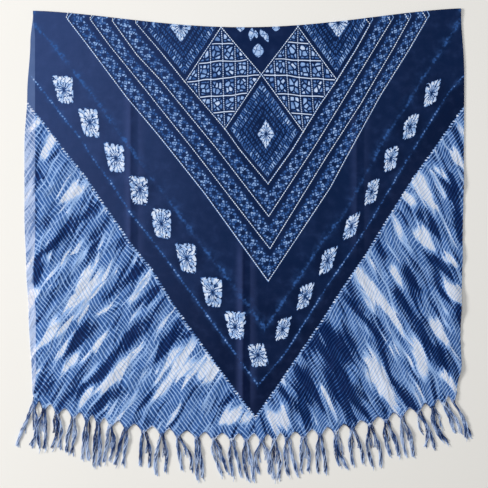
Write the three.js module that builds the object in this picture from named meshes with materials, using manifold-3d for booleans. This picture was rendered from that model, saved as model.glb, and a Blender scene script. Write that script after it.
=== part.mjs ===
// A tie-dyed cotton shawl, folded once across the middle of its length and laid flat, right side out.
// Millimetres, +Z up. The shawl lies on the plane z = 0: +X runs along the fold, +Y points from the
// fringed hems to the fold, and the origin is on the flat underside near the middle of the cloth.
// Five stretches of the one woven panel are separate solids: the upper half, the turn at the fold,
// the under half, and the two knotted warp-end fringes, each with the last strip of its cloth.
import * as THREE from 'three';
import { mergeVertices } from 'three/addons/utils/BufferGeometryUtils.js';
import Module from 'manifold-3d';

const wasm = await Module();
wasm.setup();

// Driving sizes of the cloth
const clothThick = 1.2;
const seamGap = 0.3;
const underHigh = clothThick;
const restLow = underHigh + seamGap;

// The fold, seen from above: it sags between two corners
const foldLeft = { x: -453, y: 438 };
const foldRight = { x: 444.5, y: 443 };
const foldSag = 37;
const foldSagPower = 1.5;
const foldRollHigh = 4.4;
const foldRollReach = 34;

// The knotted hem, seen from above: it bows away from the fold
const hemLowest = { x: 26, y: -463 };
const hemRise = { left: 73, leftReach: 480, leftPower: 2.1, right: 84, rightReach: 404, rightPower: 1.67 };
const tabDeep = 15;
const stripDeep = 7;
const hemLiftLow = 2.9;
const hemLiftReach = { start: 105, end: 58 };

// The under half lies a little up and to the left of the upper one
const underHemInset = 16;

// Side edges: how far down from the fold (0) to the hem (1), and where the edge runs across
const upperLeftEdge = [
  { down: 0, x: -453 }, { down: 0.07, x: -449 }, { down: 0.6, x: -448.5 }, { down: 0.68, x: -452.5 },
  { down: 0.8, x: -447 }, { down: 0.95, x: -447.5 }, { down: 1, x: -451 },
];
const upperRightEdge = [
  { down: 0, x: 444.5 }, { down: 0.17, x: 451.5 }, { down: 0.42, x: 450.5 }, { down: 0.64, x: 448 },
  { down: 0.78, x: 445.5 }, { down: 0.86, x: 443.5 }, { down: 0.94, x: 445.5 }, { down: 1, x: 436 },
];
const underLeftEdge = [
  { down: 0, x: -453 }, { down: 0.08, x: -459 }, { down: 0.22, x: -465.5 }, { down: 0.36, x: -471.5 },
  { down: 0.55, x: -471.5 }, { down: 0.69, x: -467.5 }, { down: 0.8, x: -462.5 }, { down: 1, x: -455 },
];
const underRightEdge = [
  { down: 0, x: 444.5 }, { down: 0.36, x: 432 }, { down: 0.7, x: 428 }, { down: 1, x: 420 },
];

// The largest soft folds of the upper half: a ridge from one point to another, its height and half width
const ridges = [
  { x0: -246, y0: 250, x1: -247, y1: -70, high: 2.2, half: 20 },
  { x0: -14, y0: -10, x1: -13, y1: -370, high: 2.6, half: 20 },
  { x0: 226, y0: 220, x1: 228, y1: -150, high: 2.0, half: 20 },
  { x0: -452, y0: 45, x1: -365, y1: 118, high: 4.0, half: 26 },
  { x0: -452, y0: -66, x1: -388, y1: -30, high: 5.5, half: 22 },
  { x0: -450, y0: -178, x1: -380, y1: -118, high: 4.5, half: 24 },
  { x0: -430, y0: -262, x1: -350, y1: -165, high: 4.0, half: 26 },
  { x0: -330, y0: -375, x1: -262, y1: -290, high: 4.2, half: 24 },
  { x0: -170, y0: -400, x1: -95, y1: -330, high: 3.0, half: 22 },
  { x0: 450, y0: 60, x1: 405, y1: 130, high: 3.6, half: 22 },
  { x0: 449, y0: -88, x1: 398, y1: -58, high: 4.4, half: 20 },
  { x0: 446, y0: -205, x1: 420, y1: -130, high: 5.5, half: 20 },
  { x0: 402, y0: -300, x1: 345, y1: -215, high: 4.6, half: 26 },
  { x0: 440, y0: -330, x1: 408, y1: -262, high: 3.8, half: 20 },
  { x0: 190, y0: -395, x1: 238, y1: -300, high: 3.0, half: 24 },
  { x0: 80, y0: -410, x1: 108, y1: -330, high: 2.6, half: 22 },
];

// Knotted tassels of the upper hem: where the knot is across, where its two cords end relative to it
// (middle of the two, their distance apart), and how far the cords reach away from the knot
const upperTassels = [
  { x: -450, lean: -22, apart: 27, reach: 80 }, { x: -430, lean: -6, apart: 10, reach: 80 },
  { x: -402, lean: -4, apart: 17, reach: 71 }, { x: -368, lean: -9, apart: 12, reach: 73 },
  { x: -340, lean: 0, apart: 14, reach: 82 }, { x: -316, lean: -4, apart: 9, reach: 85 },
  { x: -290, lean: -8, apart: 12, reach: 74 }, { x: -257, lean: -17, apart: 16, reach: 71 },
  { x: -221, lean: 4, apart: 20, reach: 73 }, { x: -183, lean: -2, apart: 19, reach: 79 },
  { x: -150, lean: 20, apart: 18, reach: 71 }, { x: -110, lean: 8, apart: 10, reach: 82 },
  { x: -75, lean: 25, apart: 11, reach: 70 }, { x: -37, lean: 12, apart: 19, reach: 76 },
  { x: -6, lean: 10, apart: 10, reach: 79 }, { x: 26, lean: 5, apart: 22, reach: 66 },
  { x: 53, lean: 5, apart: 10, reach: 78 }, { x: 79, lean: 14, apart: 18, reach: 76 },
  { x: 114, lean: 3, apart: 15, reach: 69 }, { x: 149, lean: 4, apart: 13, reach: 75 },
  { x: 181, lean: 17, apart: 14, reach: 71 }, { x: 216, lean: 14, apart: 21, reach: 73 },
  { x: 253, lean: 15, apart: 17, reach: 80 }, { x: 287, lean: 19, apart: 17, reach: 72 },
  { x: 319, lean: 19, apart: 17, reach: 78 }, { x: 354, lean: 26, apart: 17, reach: 70 },
  { x: 384, lean: 27, apart: 11, reach: 69 }, { x: 408, lean: 32, apart: 10, reach: 62 },
  { x: 428, lean: 33, apart: 9, reach: 74 },
];
// The under tassels lie below the upper ones, but for the last, where the under hem is shorter
const underTasselCount = 28;
const underTasselShare = { lean: 0.6, apart: 0.65, reach: 0.8 };

// Cords and knots
const upperCord = { radius: 1.05, root: 3.2, startHigh: 4.5, endHigh: 1.45, dropFrom: 0.5, bow: 3.5, steps: 4 };
const underCord = { radius: 0.95, root: 1.7, startHigh: 1.35, endHigh: 1.35, dropFrom: 0.5, bow: 2, steps: 2 };
const lockGap = { root: 2.3, tip: 3.8 };
const cordSides = 3;
const upperKnot = { wide: 4.8, long: 4.2, high: 1.9, lift: 4.5 };
const underKnot = { wide: 3.2, long: 3, high: 1.05, lift: 1.35 };

// How finely each stretch is built
const upperGrid = { columns: 34, rows: 32 };
const underGrid = { columns: 18, rows: 12 };
const turnGrid = { columns: 26, rows: 8 };

const indigo = new THREE.Color(0.05, 0.09, 0.23);
const paleIndigo = new THREE.Color(0.3, 0.42, 0.68);
const clothFinish = () => new THREE.MeshStandardMaterial({ color: indigo, roughness: 0.85, metalness: 0 });
const fringeFinish = () => new THREE.MeshStandardMaterial({ color: paleIndigo, roughness: 0.9, metalness: 0 });

const mix = (a, b, t) => a + (b - a) * t;

// 0 before start, 1 after end, smooth between
function ease(value, start, end) {
  const t = Math.min(1, Math.max(0, (value - start) / (end - start)));
  return t * t * (3 - 2 * t);
}

// Where an edge runs across at a share of the way down, smoothly through its table's rows
function edgeAt(edge, down) {
  const last = edge.length - 1;
  const next = Math.min(last, Math.max(1, edge.findIndex((row) => row.down >= down)));
  const [a, b] = [edge[next - 1], edge[next]];
  return mix(a.x, b.x, ease(down, a.down, b.down));
}

// The outermost line of the fold
function foldLine(x) {
  const across = Math.min(1, Math.max(0, (x - foldLeft.x) / (foldRight.x - foldLeft.x)));
  return mix(foldLeft.y, foldRight.y, across) - foldSag * Math.sin(Math.PI * across) ** foldSagPower;
}

// The line of the knots along the upper hem
function hemLine(x) {
  const away = x - hemLowest.x;
  const rise = away < 0
    ? hemRise.left * (-away / hemRise.leftReach) ** hemRise.leftPower
    : hemRise.right * (away / hemRise.rightReach) ** hemRise.rightPower;
  return hemLowest.y + rise;
}

// Height of a soft fold above the cloth beside it
function ridgeHeight(ridge, x, y) {
  const along = new THREE.Vector2(ridge.x1 - ridge.x0, ridge.y1 - ridge.y0);
  const to = new THREE.Vector2(x - ridge.x0, y - ridge.y0);
  const share = to.dot(along) / along.lengthSq();
  const off = Math.abs(to.cross(along)) / along.length();
  const ends = ease(share, -0.18, 0.22) * (1 - ease(share, 0.72, 1.2));
  return ridge.high * ends * Math.exp(-((off / ridge.half) ** 2));
}

// Height of the upper half's lower face
function upperLow(x, y) {
  const fromFold = foldLine(x) - y;
  const fromHem = y - hemLine(x);
  const roll = (foldRollHigh - clothThick - restLow) * (1 - ease(fromFold, 4, foldRollReach));
  const lift = (hemLiftLow - restLow) * (1 - ease(fromHem, hemLiftReach.end, hemLiftReach.start));
  const away = ease(fromFold, 4, 2 * foldRollReach) * ease(fromHem, tabDeep + stripDeep, hemLiftReach.end);
  const folds = ridges.reduce((sum, ridge) => sum + ridgeHeight(ridge, x, y), 0);
  return restLow + roll + lift + folds * away;
}

// A closed wall over a grid: at(column, row) gives the matching points of its outer and inner faces.
// Columns run along +X; rows run from the fold to the hem on an upper face.
function clothWall(columns, rows, at) {
  const points = [];
  const index = [];
  const layer = (columns + 1) * (rows + 1);
  for (const face of ['outer', 'inner']) {
    for (let row = 0; row <= rows; row += 1) {
      for (let column = 0; column <= columns; column += 1) points.push(...at(column, row)[face]);
    }
  }
  const outer = (column, row) => row * (columns + 1) + column;
  const inner = (column, row) => layer + outer(column, row);
  const quad = (a, b, c, d) => index.push(a, b, c, a, c, d);
  for (let row = 0; row < rows; row += 1) {
    for (let column = 0; column < columns; column += 1) {
      const [right, below] = [column + 1, row + 1];
      quad(outer(column, row), outer(column, below), outer(right, below), outer(right, row));
      quad(inner(column, row), inner(right, row), inner(right, below), inner(column, below));
    }
  }
  for (let column = 0; column < columns; column += 1) {
    const right = column + 1;
    quad(outer(column, 0), outer(right, 0), inner(right, 0), inner(column, 0));
    quad(outer(right, rows), outer(column, rows), inner(column, rows), inner(right, rows));
  }
  for (let row = 0; row < rows; row += 1) {
    const below = row + 1;
    quad(outer(0, below), outer(0, row), inner(0, row), inner(0, below));
    quad(outer(columns, row), outer(columns, below), inner(columns, below), inner(columns, row));
  }
  const geometry = new THREE.BufferGeometry();
  geometry.setAttribute('position', new THREE.Float32BufferAttribute(points, 3));
  geometry.setIndex(index);
  return geometry;
}

// One point of a half: across from its left edge (0) to its right edge (1), down from the fold to its strip
function halfPoint(across, down, leftEdge, rightEdge, hemInset) {
  const x = mix(edgeAt(leftEdge, down), edgeAt(rightEdge, down), across);
  const top = foldLine(x) - foldRollHigh / 2 - seamGap;
  const bottom = hemLine(x) + hemInset + tabDeep + stripDeep + seamGap;
  return { x, y: mix(top, bottom, down) };
}

function upperHalf() {
  return clothWall(upperGrid.columns, upperGrid.rows, (column, row) => {
    const { x, y } = halfPoint(column / upperGrid.columns, row / upperGrid.rows, upperLeftEdge, upperRightEdge, 0);
    const low = upperLow(x, y);
    return { outer: [x, y, low + clothThick], inner: [x, y, low] };
  });
}

function underHalf() {
  return clothWall(underGrid.columns, underGrid.rows, (column, row) => {
    const { x, y } = halfPoint(
      column / underGrid.columns, row / underGrid.rows, underLeftEdge, underRightEdge, underHemInset);
    return { outer: [x, y, underHigh], inner: [x, y, 0] };
  });
}

// The turn: a half ring swept along the fold, from the under half's level round to the upper half's
function foldTurn() {
  const outerRadius = foldRollHigh / 2;
  const innerRadius = outerRadius - clothThick;
  return clothWall(turnGrid.columns, turnGrid.rows, (column, row) => {
    const x = mix(foldLeft.x, foldRight.x, column / turnGrid.columns);
    const angle = mix(-Math.PI / 2, Math.PI / 2, row / turnGrid.rows);
    const centre = foldLine(x) - outerRadius;
    const at = (radius) => [x, centre + radius * Math.cos(angle), outerRadius + radius * Math.sin(angle)];
    return { outer: at(outerRadius), inner: at(innerRadius) };
  });
}

function toSolid(geometry) {
  const bare = geometry.clone();
  bare.deleteAttribute('normal');
  bare.deleteAttribute('uv');
  const merged = mergeVertices(bare, 1e-4);
  return new wasm.Manifold(new wasm.Mesh({
    numProp: 3,
    vertProperties: new Float32Array(merged.attributes.position.array),
    triVerts: new Uint32Array(merged.index.array),
  }));
}

function toGeometry(solid) {
  const mesh = solid.getMesh();
  const geometry = new THREE.BufferGeometry();
  geometry.setAttribute('position', new THREE.Float32BufferAttribute(mesh.vertProperties, 3));
  geometry.setIndex(Array.from(mesh.triVerts));
  return geometry;
}

// The last strip of a hem: a tab runs down to each knot, with a pointed arch between two tabs
function hemStrip(knots, edges, inset, low) {
  const perTab = 4;
  const arches = knots.slice(1).map((x, i) => (x + knots[i]) / 2);
  const bounds = [edges.left, ...arches, edges.right];
  const tabShare = [0, 0.62, 1, 0.62, 0];
  return clothWall(knots.length * perTab, 1, (column, row) => {
    const tab = Math.min(knots.length - 1, Math.floor(column / perTab));
    const step = column - tab * perTab;
    const share = tabShare[step];
    const side = step <= perTab / 2 ? bounds[tab] : bounds[tab + 1];
    const gather = clothThick * share;
    const x = row === 0 ? mix(bounds[tab], bounds[tab + 1], step / perTab) : mix(side, knots[tab], share);
    const top = hemLine(x) + inset + tabDeep + stripDeep;
    const y = row === 0 ? top : top - stripDeep - tabDeep * share;
    return { outer: [x, y, low + clothThick + gather * row], inner: [x, y, low] };
  });
}

// A flattened knot
function knot(x, y, size) {
  const ball = new THREE.SphereGeometry(1, 6, 3);
  ball.rotateX(Math.PI / 2);
  ball.scale(size.wide, size.long, size.high);
  ball.translate(x, y, size.lift);
  return ball;
}

// One lock of a tassel, from its knot out along the floor
function lock(x, y, tipX, tipY, cord, side) {
  const points = [];
  for (let i = 0; i <= cord.steps; i += 1) {
    const t = i / cord.steps;
    const bow = cord.bow * side * Math.sin(Math.PI * t);
    const high = mix(cord.startHigh, cord.endHigh, ease(t, cord.dropFrom, 1));
    points.push(new THREE.Vector3(mix(x, tipX, t) + bow, mix(y, tipY, t), high));
  }
  const section = new THREE.Shape();
  for (let i = 0; i < cordSides; i += 1) {
    const angle = (2 * Math.PI * i) / cordSides;
    const corner = [cord.radius * Math.cos(angle), cord.radius * Math.sin(angle)];
    if (i === 0) section.moveTo(...corner);
    else section.lineTo(...corner);
  }
  section.closePath();
  const path = new THREE.CatmullRomCurve3(points);
  return new THREE.ExtrudeGeometry(section, { steps: cord.steps, bevelEnabled: false, extrudePath: path });
}

// A whole fringe: the strip, its knots and the locks fused to them
function fringe(tassels, edges, inset, low, knotSize, cord, locksPerCord) {
  let solid = toSolid(hemStrip(tassels.map((tassel) => tassel.x), edges, inset, low));
  for (const tassel of tassels) {
    const y = hemLine(tassel.x) + inset;
    solid = solid.add(toSolid(knot(tassel.x, y, knotSize)));
    for (const side of [-1, 1]) {
      for (let i = 0; i < locksPerCord; i += 1) {
        const spread = i - (locksPerCord - 1) / 2;
        const tipX = tassel.x + tassel.lean + (side * tassel.apart) / 2 + spread * lockGap.tip;
        const rootX = tassel.x + side * cord.root + spread * lockGap.root;
        const short = 5 * ((i + (side + 1) / 2) % 2);
        solid = solid.add(toSolid(lock(rootX, y, tipX, y - tassel.reach + short, cord, side)));
      }
    }
  }
  return toGeometry(solid);
}

function upperFringe() {
  const edges = { left: edgeAt(upperLeftEdge, 1), right: edgeAt(upperRightEdge, 1) };
  return fringe(upperTassels, edges, 0, hemLiftLow, upperKnot, upperCord, 2);
}

function underFringe() {
  const edges = { left: edgeAt(underLeftEdge, 1), right: edgeAt(underRightEdge, 1) };
  const tassels = upperTassels.slice(0, underTasselCount).map((tassel) => ({
    x: tassel.x,
    lean: tassel.lean * underTasselShare.lean,
    apart: tassel.apart * underTasselShare.apart,
    reach: tassel.reach * underTasselShare.reach,
  }));
  return fringe(tassels, edges, underHemInset, 0, underKnot, underCord, 1);
}

function named(name, geometry, material) {
  const mesh = new THREE.Mesh(geometry, material);
  mesh.name = name;
  return mesh;
}

const shawl = new THREE.Group();
shawl.add(named('cloth_upper', upperHalf(), clothFinish()));
shawl.add(named('fold_turn', foldTurn(), clothFinish()));
shawl.add(named('cloth_under', underHalf(), clothFinish()));
shawl.add(named('fringe_upper', upperFringe(), fringeFinish()));
shawl.add(named('fringe_under', underFringe(), fringeFinish()));

export default shawl;
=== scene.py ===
import math
import bpy
import numpy as np
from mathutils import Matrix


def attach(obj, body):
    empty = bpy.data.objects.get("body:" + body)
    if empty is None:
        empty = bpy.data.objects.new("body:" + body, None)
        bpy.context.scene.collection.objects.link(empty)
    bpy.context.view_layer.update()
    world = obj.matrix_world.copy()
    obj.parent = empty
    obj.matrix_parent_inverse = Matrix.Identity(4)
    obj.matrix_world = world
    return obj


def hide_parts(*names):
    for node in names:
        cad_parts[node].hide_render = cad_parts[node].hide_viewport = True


# The looks of a tie-dyed cotton shawl, folded once and lying flat. Sizes are in millimetres, as in the
# CAD source, and turn into metres where a mesh is made. Tables of the dyed pattern count in cloth
# units, to the right and down from a point beyond the upper left corner.
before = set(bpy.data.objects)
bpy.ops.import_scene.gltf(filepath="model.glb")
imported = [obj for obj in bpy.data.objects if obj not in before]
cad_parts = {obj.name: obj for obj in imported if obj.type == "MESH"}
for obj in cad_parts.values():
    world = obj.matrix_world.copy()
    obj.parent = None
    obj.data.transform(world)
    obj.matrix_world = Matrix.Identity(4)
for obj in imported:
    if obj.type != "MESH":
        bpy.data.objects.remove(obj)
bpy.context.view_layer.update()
seed = np.random.default_rng(20)
clothUnit = 2.1  # millimetres
unitCentre = (249.0, 219.5)  # where the middle of the part lies, in cloth units


def toUnits(x, y):
    return x / clothUnit + unitCentre[0], unitCentre[1] - y / clothUnit


def fromUnits(px, py):
    return (px - unitCentre[0]) * clothUnit, (unitCentre[1] - py) * clothUnit


def mix(a, b, t):
    return a + (b - a) * t


def easeIn(value, start, end):
    t = np.clip((value - start) / (end - start), 0, 1)
    return t * t * (3 - 2 * t)


# Form of the folded cloth: where the fold, the hem and the side edges run
fold = {"leftX": -453, "leftY": 438, "rightX": 444.5, "rightY": 443, "sag": 37, "sagPower": 1.5,
        "rollHigh": 4.4, "rollReach": 34}
hem = {"lowX": 26, "lowY": -463, "leftRise": 73, "leftReach": 480, "leftPower": 2.1,
       "rightRise": 84, "rightReach": 404, "rightPower": 1.67, "tabDeep": 15, "stripDeep": 7,
       "liftLow": 2.9, "liftStart": 105, "liftEnd": 58, "underInset": 16, "neckHalf": 3.4}
cloth = {"wall": 1.2, "shell": 0.9, "restLow": 1.5, "rows": 196, "turnRows": 8, "tabRows": 6,
         "wrinkleShare": 1.6}
upperLeft = [(0, -453), (0.07, -449), (0.6, -448.5), (0.68, -452.5), (0.8, -447), (0.95, -447.5), (1, -451)]
upperRight = [(0, 444.5), (0.17, 451.5), (0.42, 450.5), (0.64, 448), (0.78, 445.5), (0.86, 443.5),
              (0.94, 445.5), (1, 436)]
underLeft = [(0, -453), (0.08, -459), (0.22, -465.5), (0.36, -471.5), (0.55, -471.5), (0.69, -467.5),
             (0.8, -462.5), (1, -455)]
underRight = [(0, 444.5), (0.36, 432), (0.7, 428), (1, 420)]

# Soft folds of the upper half: from and to, height and half width
ridges = [
    (-246, 250, -247, -70, 2.2, 20), (-14, -10, -13, -370, 2.6, 20), (226, 220, 228, -150, 2.0, 20),
    (-452, 45, -365, 118, 4.0, 26), (-452, -66, -388, -30, 5.5, 22), (-450, -178, -380, -118, 4.5, 24),
    (-430, -262, -350, -165, 4.0, 26), (-330, -375, -262, -290, 4.2, 24), (-170, -400, -95, -330, 3.0, 22),
    (450, 60, 405, 130, 3.6, 22), (449, -88, 398, -58, 4.4, 20), (446, -205, 420, -130, 5.5, 20),
    (402, -300, 345, -215, 4.6, 26), (440, -330, 408, -262, 3.8, 20), (190, -395, 238, -300, 3.0, 24),
    (80, -410, 108, -330, 2.6, 22),
]
# Smaller wrinkles that only the thin cloth shows
wrinkles = [
    (-440, 20, -340, 78, 1.2, 9), (-446, -20, -350, 20, 1.5, 8), (-448, -100, -372, -62, 1.6, 9),
    (-440, -140, -330, -70, 1.1, 8), (-440, -215, -330, -110, 1.3, 9), (-400, -290, -318, -190, 1.3, 10),
    (-380, -350, -300, -240, 1.2, 10), (-290, -385, -215, -300, 1.2, 10), (-120, -415, -60, -345, 1.0, 9),
    (447, 20, 400, 70, 1.3, 8), (447, -30, 392, 0, 1.5, 8), (447, -60, 398, -40, 1.6, 7),
    (446, -120, 405, -98, 1.8, 8), (445, -165, 400, -120, 1.6, 8), (443, -240, 395, -190, 1.5, 9),
    (438, -280, 388, -240, 1.4, 9), (380, -340, 330, -260, 1.2, 10), (300, -380, 262, -300, 1.0, 10),
    (-252, 230, -251, -150, 0.7, 3), (-18, 10, -17, -395, 0.9, 3.5), (222, 180, 224, -120, 0.5, 3),
    (60, 330, 90, 180, 0.7, 14), (-180, 300, -120, 120, 0.8, 16), (150, 60, 120, -120, 0.7, 16),
    (-320, 340, -250, 300, 0.8, 14), (330, 330, 300, 180, 0.7, 15), (-90, -120, -60, -300, 0.8, 14),
    (376, -131, 439, -169, 2.0, 5), (384, -169, 443, -215, 1.9, 5), (401, -232, 447, -264, 2.0, 5),
    (368, -264, 422, -320, 1.5, 6), (307, -362, 370, -390, 1.3, 6), (433, -89, 380, -102, 1.7, 5),
    (-451, -160, -393, -135, 1.9, 5), (-447, -232, -376, -207, 1.8, 5), (-439, -278, -363, -320, 1.6, 5),
    (-430, -348, -330, -375, 1.4, 6), (-313, -64, -229, -22, 1.1, 6), (-271, -232, -166, -169, 1.0, 6),
    (-455, 60, -400, 66, 1.7, 5), (-452, 0, -410, 12, 1.6, 5), (180, -300, 150, -380, 1.0, 7),
]


def edgeAt(edge, down):
    downs = np.array([row[0] for row in edge])
    across = np.array([row[1] for row in edge])
    i = np.clip(np.searchsorted(downs, down, side="left"), 1, len(edge) - 1)
    return mix(across[i - 1], across[i], easeIn(down, downs[i - 1], downs[i]))


def foldLine(x):
    t = np.clip((x - fold["leftX"]) / (fold["rightX"] - fold["leftX"]), 0, 1)
    return mix(fold["leftY"], fold["rightY"], t) - fold["sag"] * np.sin(math.pi * t) ** fold["sagPower"]


def hemLine(x):
    away = x - hem["lowX"]
    left = hem["leftRise"] * (np.maximum(-away, 0) / hem["leftReach"]) ** hem["leftPower"]
    right = hem["rightRise"] * (np.maximum(away, 0) / hem["rightReach"]) ** hem["rightPower"]
    return hem["lowY"] + left + right


def foldsHigh(folds, x, y):
    high = np.zeros_like(x)
    for x0, y0, x1, y1, top, half in folds:
        length = math.hypot(x1 - x0, y1 - y0)
        ax, ay = (x1 - x0) / length, (y1 - y0) / length
        share = ((x - x0) * ax + (y - y0) * ay) / length
        off = (x - x0) * ay - (y - y0) * ax
        ends = easeIn(share, -0.18, 0.22) * (1 - easeIn(share, 0.72, 1.2))
        high += top * ends * np.exp(-(off / half) ** 2)
    return high


# Height of the upper half's lower face
def upperLow(x, y):
    fromFold = foldLine(x) - y
    fromHem = y - hemLine(x)
    rollTop = fold["rollHigh"] - cloth["wall"] - cloth["restLow"]
    roll = rollTop * (1 - easeIn(fromFold, 4, fold["rollReach"]))
    lift = (hem["liftLow"] - cloth["restLow"]) * (1 - easeIn(fromHem, hem["liftEnd"], hem["liftStart"]))
    away = easeIn(fromFold, 4, 2 * fold["rollReach"])
    clear = away * easeIn(fromHem, hem["tabDeep"] + hem["stripDeep"], hem["liftEnd"])
    small = foldsHigh(wrinkles, x, y) * cloth["wrinkleShare"] * away
    return cloth["restLow"] + roll + lift + foldsHigh(ridges, x, y) * clear + small


# Lines that run down to the right, from the V's edge inwards: where each passes (across, down)
leftLines = [
    [(29.6, 106), (45.9, 125.5), (63.3, 149), (84.6, 175), (104, 204), (132, 245), (152, 269), (171.6, 302),
     (210, 356), (242, 399.5), (255, 416)],
    [(34.7, 80.6), (48, 97), (69, 124.5), (82, 140), (89, 153), (114, 187), (132, 215), (150, 237),
     (166, 258.5), (259, 386)],
    [(64, 90), (90, 122.4), (116, 158.5), (140, 189.6), (161.5, 223.6), (186.7, 258.5), (212.6, 292.3),
     (235, 327), (258, 355)],
    [(35.7, 27.6), (49, 41), (66, 62), (84, 85), (96, 100), (110, 121), (150, 176), (200, 243), (262, 325)],
    [(66.8, 18), (89.8, 48), (126.5, 97), (160, 137), (205, 193.6), (268.2, 281)],
    [(90, 19), (110, 46), (145, 89), (160, 108), (193.6, 150), (270, 248.7)],
    [(112, 20.4), (137, 55), (160, 79.6), (217.7, 150), (268.8, 216.4)],
    [(135, 22), (160, 51), (185, 82), (225, 129), (240, 150), (268.2, 184)],
    [(221.2, 27.5), (261.4, 74.6), (303.3, 132)],
    [(298, 27), (337, 80.4)],
    [(375, 27), (413, 80)],
]
# Lines that run down to the left, in the same order
rightLines = [
    [(463.6, 107), (443, 136), (431, 153), (412, 179), (387, 219), (365.6, 254), (341.7, 289), (324, 317),
     (303.5, 347), (271, 395), (257, 414)],
    [(463.6, 76), (448.6, 92), (433.6, 116), (416, 145), (394, 181.5), (372, 219), (349, 254), (326.5, 287),
     (285.5, 353), (264, 378)],
    [(431.4, 93.8), (410, 127), (390.6, 159), (371.5, 192), (351.5, 226), (327.5, 260.5), (305, 297),
     (282.5, 329.4), (262, 357)],
    [(454, 31), (438, 56), (421, 81), (404.6, 110), (386, 136), (373, 161), (357, 191), (343, 216),
     (322, 243), (268, 325)],
    [(426.6, 19.3), (410, 48), (380, 96), (345.7, 158.6), (330, 188), (268.2, 281)],
    [(408.7, 20.4), (393, 49), (360.7, 104), (325.4, 158.6), (270, 248.7)],
    [(390.7, 22), (371.4, 53.6), (341.4, 103), (320, 138), (312.4, 150), (268.8, 216.4)],
    [(370, 24.6), (356.4, 49), (337, 80.4), (320, 105), (303.3, 132), (292.3, 150), (268.2, 184)],
    [(298, 27), (261.4, 74.6), (225, 129)],
    [(221.2, 27.5), (185, 82)],
    [(145, 27), (107, 82)],
]
armWay = {"left": (0.62, 0.785), "right": (-0.53, 0.848)}
beyondStep = 40.0  # millimetres for one level beyond the lines
lozengeStep = 41.5  # cloth units between lozenges beyond the ends of an arm
mirrorLine = {"middle": 262, "reach": 190, "drop": 6}

# Pale and dark flames of the bound cloth outside the V, mostly dye; some dark ones near the right edge and in
# the lower left also carry painted shade of wrinkles: place, length, width, tone, lean from upright
flames = [
    (68, 192, 27, 8, 1.0, 45), (102, 250, 34, 4, 0.7, 24), (79, 298, 78, 17, 1.0, 32),
    (48, 336, 38, 10, 0.9, 40), (34, 300, 22, 7, 0.8, 20), (58, 240, 58, 8, -0.9, 42),
    (40, 274, 32, 9, -1.0, 18), (120, 286, 58, 6, -0.8, 50), (77, 340, 52, 9, -1.0, 34),
    (118, 356, 128, 11, -1.0, 42), (150, 298, 30, 6, -0.5, 40), (122, 366, 62, 14, 0.95, 38),
    (170, 378, 68, 20, 0.8, 40), (206, 372, 34, 14, 0.9, 42), (137, 292, 42, 9, 0.6, 32),
    (110, 306, 40, 4, 0.5, 72), (96, 344, 42, 4, 0.7, 38), (59, 358, 32, 6, 0.8, 16),
    (72, 364, 26, 8, 0.6, 35), (170, 348, 62, 10, -0.8, 45), (51, 146, 30, 12, 0.9, 28),
    (33, 124, 18, 8, 0.7, 30), (230, 416, 30, 17, 0.9, 60), (226, 398, 24, 5, -0.7, 50),
    (36, 180, 30, 6, -0.6, 15), (40, 212, 24, 7, 0.5, 30), (84, 216, 30, 6, -0.6, 35),
    (60, 268, 40, 8, 0.25, 38), (150, 392, 60, 7, -0.5, 44), (90, 396, 34, 8, 0.5, 40),
    (52, 392, 26, 6, -0.5, 30), (108, 398, 44, 8, -0.7, 44), (372, 290, 47, 10, 0.95, -32),
    (400, 276, 32, 9, 0.8, -20), (378, 380, 68, 19, 1.0, -40), (420, 362, 46, 12, 0.8, -20),
    (438, 330, 30, 9, 1.0, -40), (456, 296, 22, 8, 1.0, -30), (450, 378, 24, 7, 0.95, -35),
    (284, 420, 27, 14, 0.85, -30), (288, 390, 32, 8, 0.4, -35), (352, 356, 72, 16, -0.9, -30),
    (312, 390, 54, 10, -0.7, -32), (384, 362, 62, 7, -0.8, -28), (430, 350, 46, 7, -0.6, -28),
    (408, 400, 36, 10, -0.9, -35), (360, 314, 52, 7, -0.7, -30), (458, 316, 32, 5, -0.8, -10),
    (444, 358, 32, 6, -0.6, -32), (440, 288, 30, 7, -0.7, -34), (392, 320, 52, 6, 0.5, -30),
    (402, 302, 36, 6, -0.6, -28), (318, 362, 27, 6, 0.4, -32), (348, 406, 50, 12, -0.4, -35),
    (459, 162, 26, 8, 1.0, -22), (439, 176, 24, 6, 0.9, -40), (425, 196, 44, 13, 1.0, -24),
    (409, 202, 24, 9, 0.8, -20), (428, 240, 38, 10, 0.9, -38), (454, 262, 22, 7, 0.9, -48),
    (450, 292, 28, 9, 1.0, -34), (450, 194, 52, 9, -0.8, -24), (416, 214, 32, 6, -0.8, -40),
    (434, 230, 24, 6, -0.7, -40), (444, 266, 32, 9, -0.9, -30), (416, 278, 32, 8, -0.7, -28),
    (460, 234, 42, 6, -0.6, -10), (404, 236, 40, 9, 0.5, -32), (462, 128, 18, 5, 0.6, -30),
    (330, 400, 40, 5, 0.5, -34), (366, 336, 30, 5, 0.4, -30), (334, 366, 96, 24, -0.75, -32),
    (300, 402, 46, 22, -0.6, -34), (360, 400, 40, 10, -0.6, -36), (92, 256, 40, 7, -0.6, 36),
    (66, 318, 60, 6, -0.6, 34),
]


def crossing(line, down):
    downs = [p[1] for p in line]
    across = [p[0] for p in line]
    at = np.interp(down, downs, across)
    first = (across[1] - across[0]) / (downs[1] - downs[0])
    last = (across[-1] - across[-2]) / (downs[-1] - downs[-2])
    at = np.where(down < downs[0], across[0] + (down - downs[0]) * first, at)
    return np.where(down > downs[-1], across[-1] + (down - downs[-1]) * last, at)


# The pattern mirrors at the fold, a little below it towards the sides
def mirroredDown(px, py):
    x = fromUnits(px, py)[0]
    away = np.abs(px - mirrorLine["middle"]) / mirrorLine["reach"]
    line = toUnits(x, foldLine(x))[1] + mirrorLine["drop"] * away ** 2
    return line + np.abs(py - line)


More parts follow.
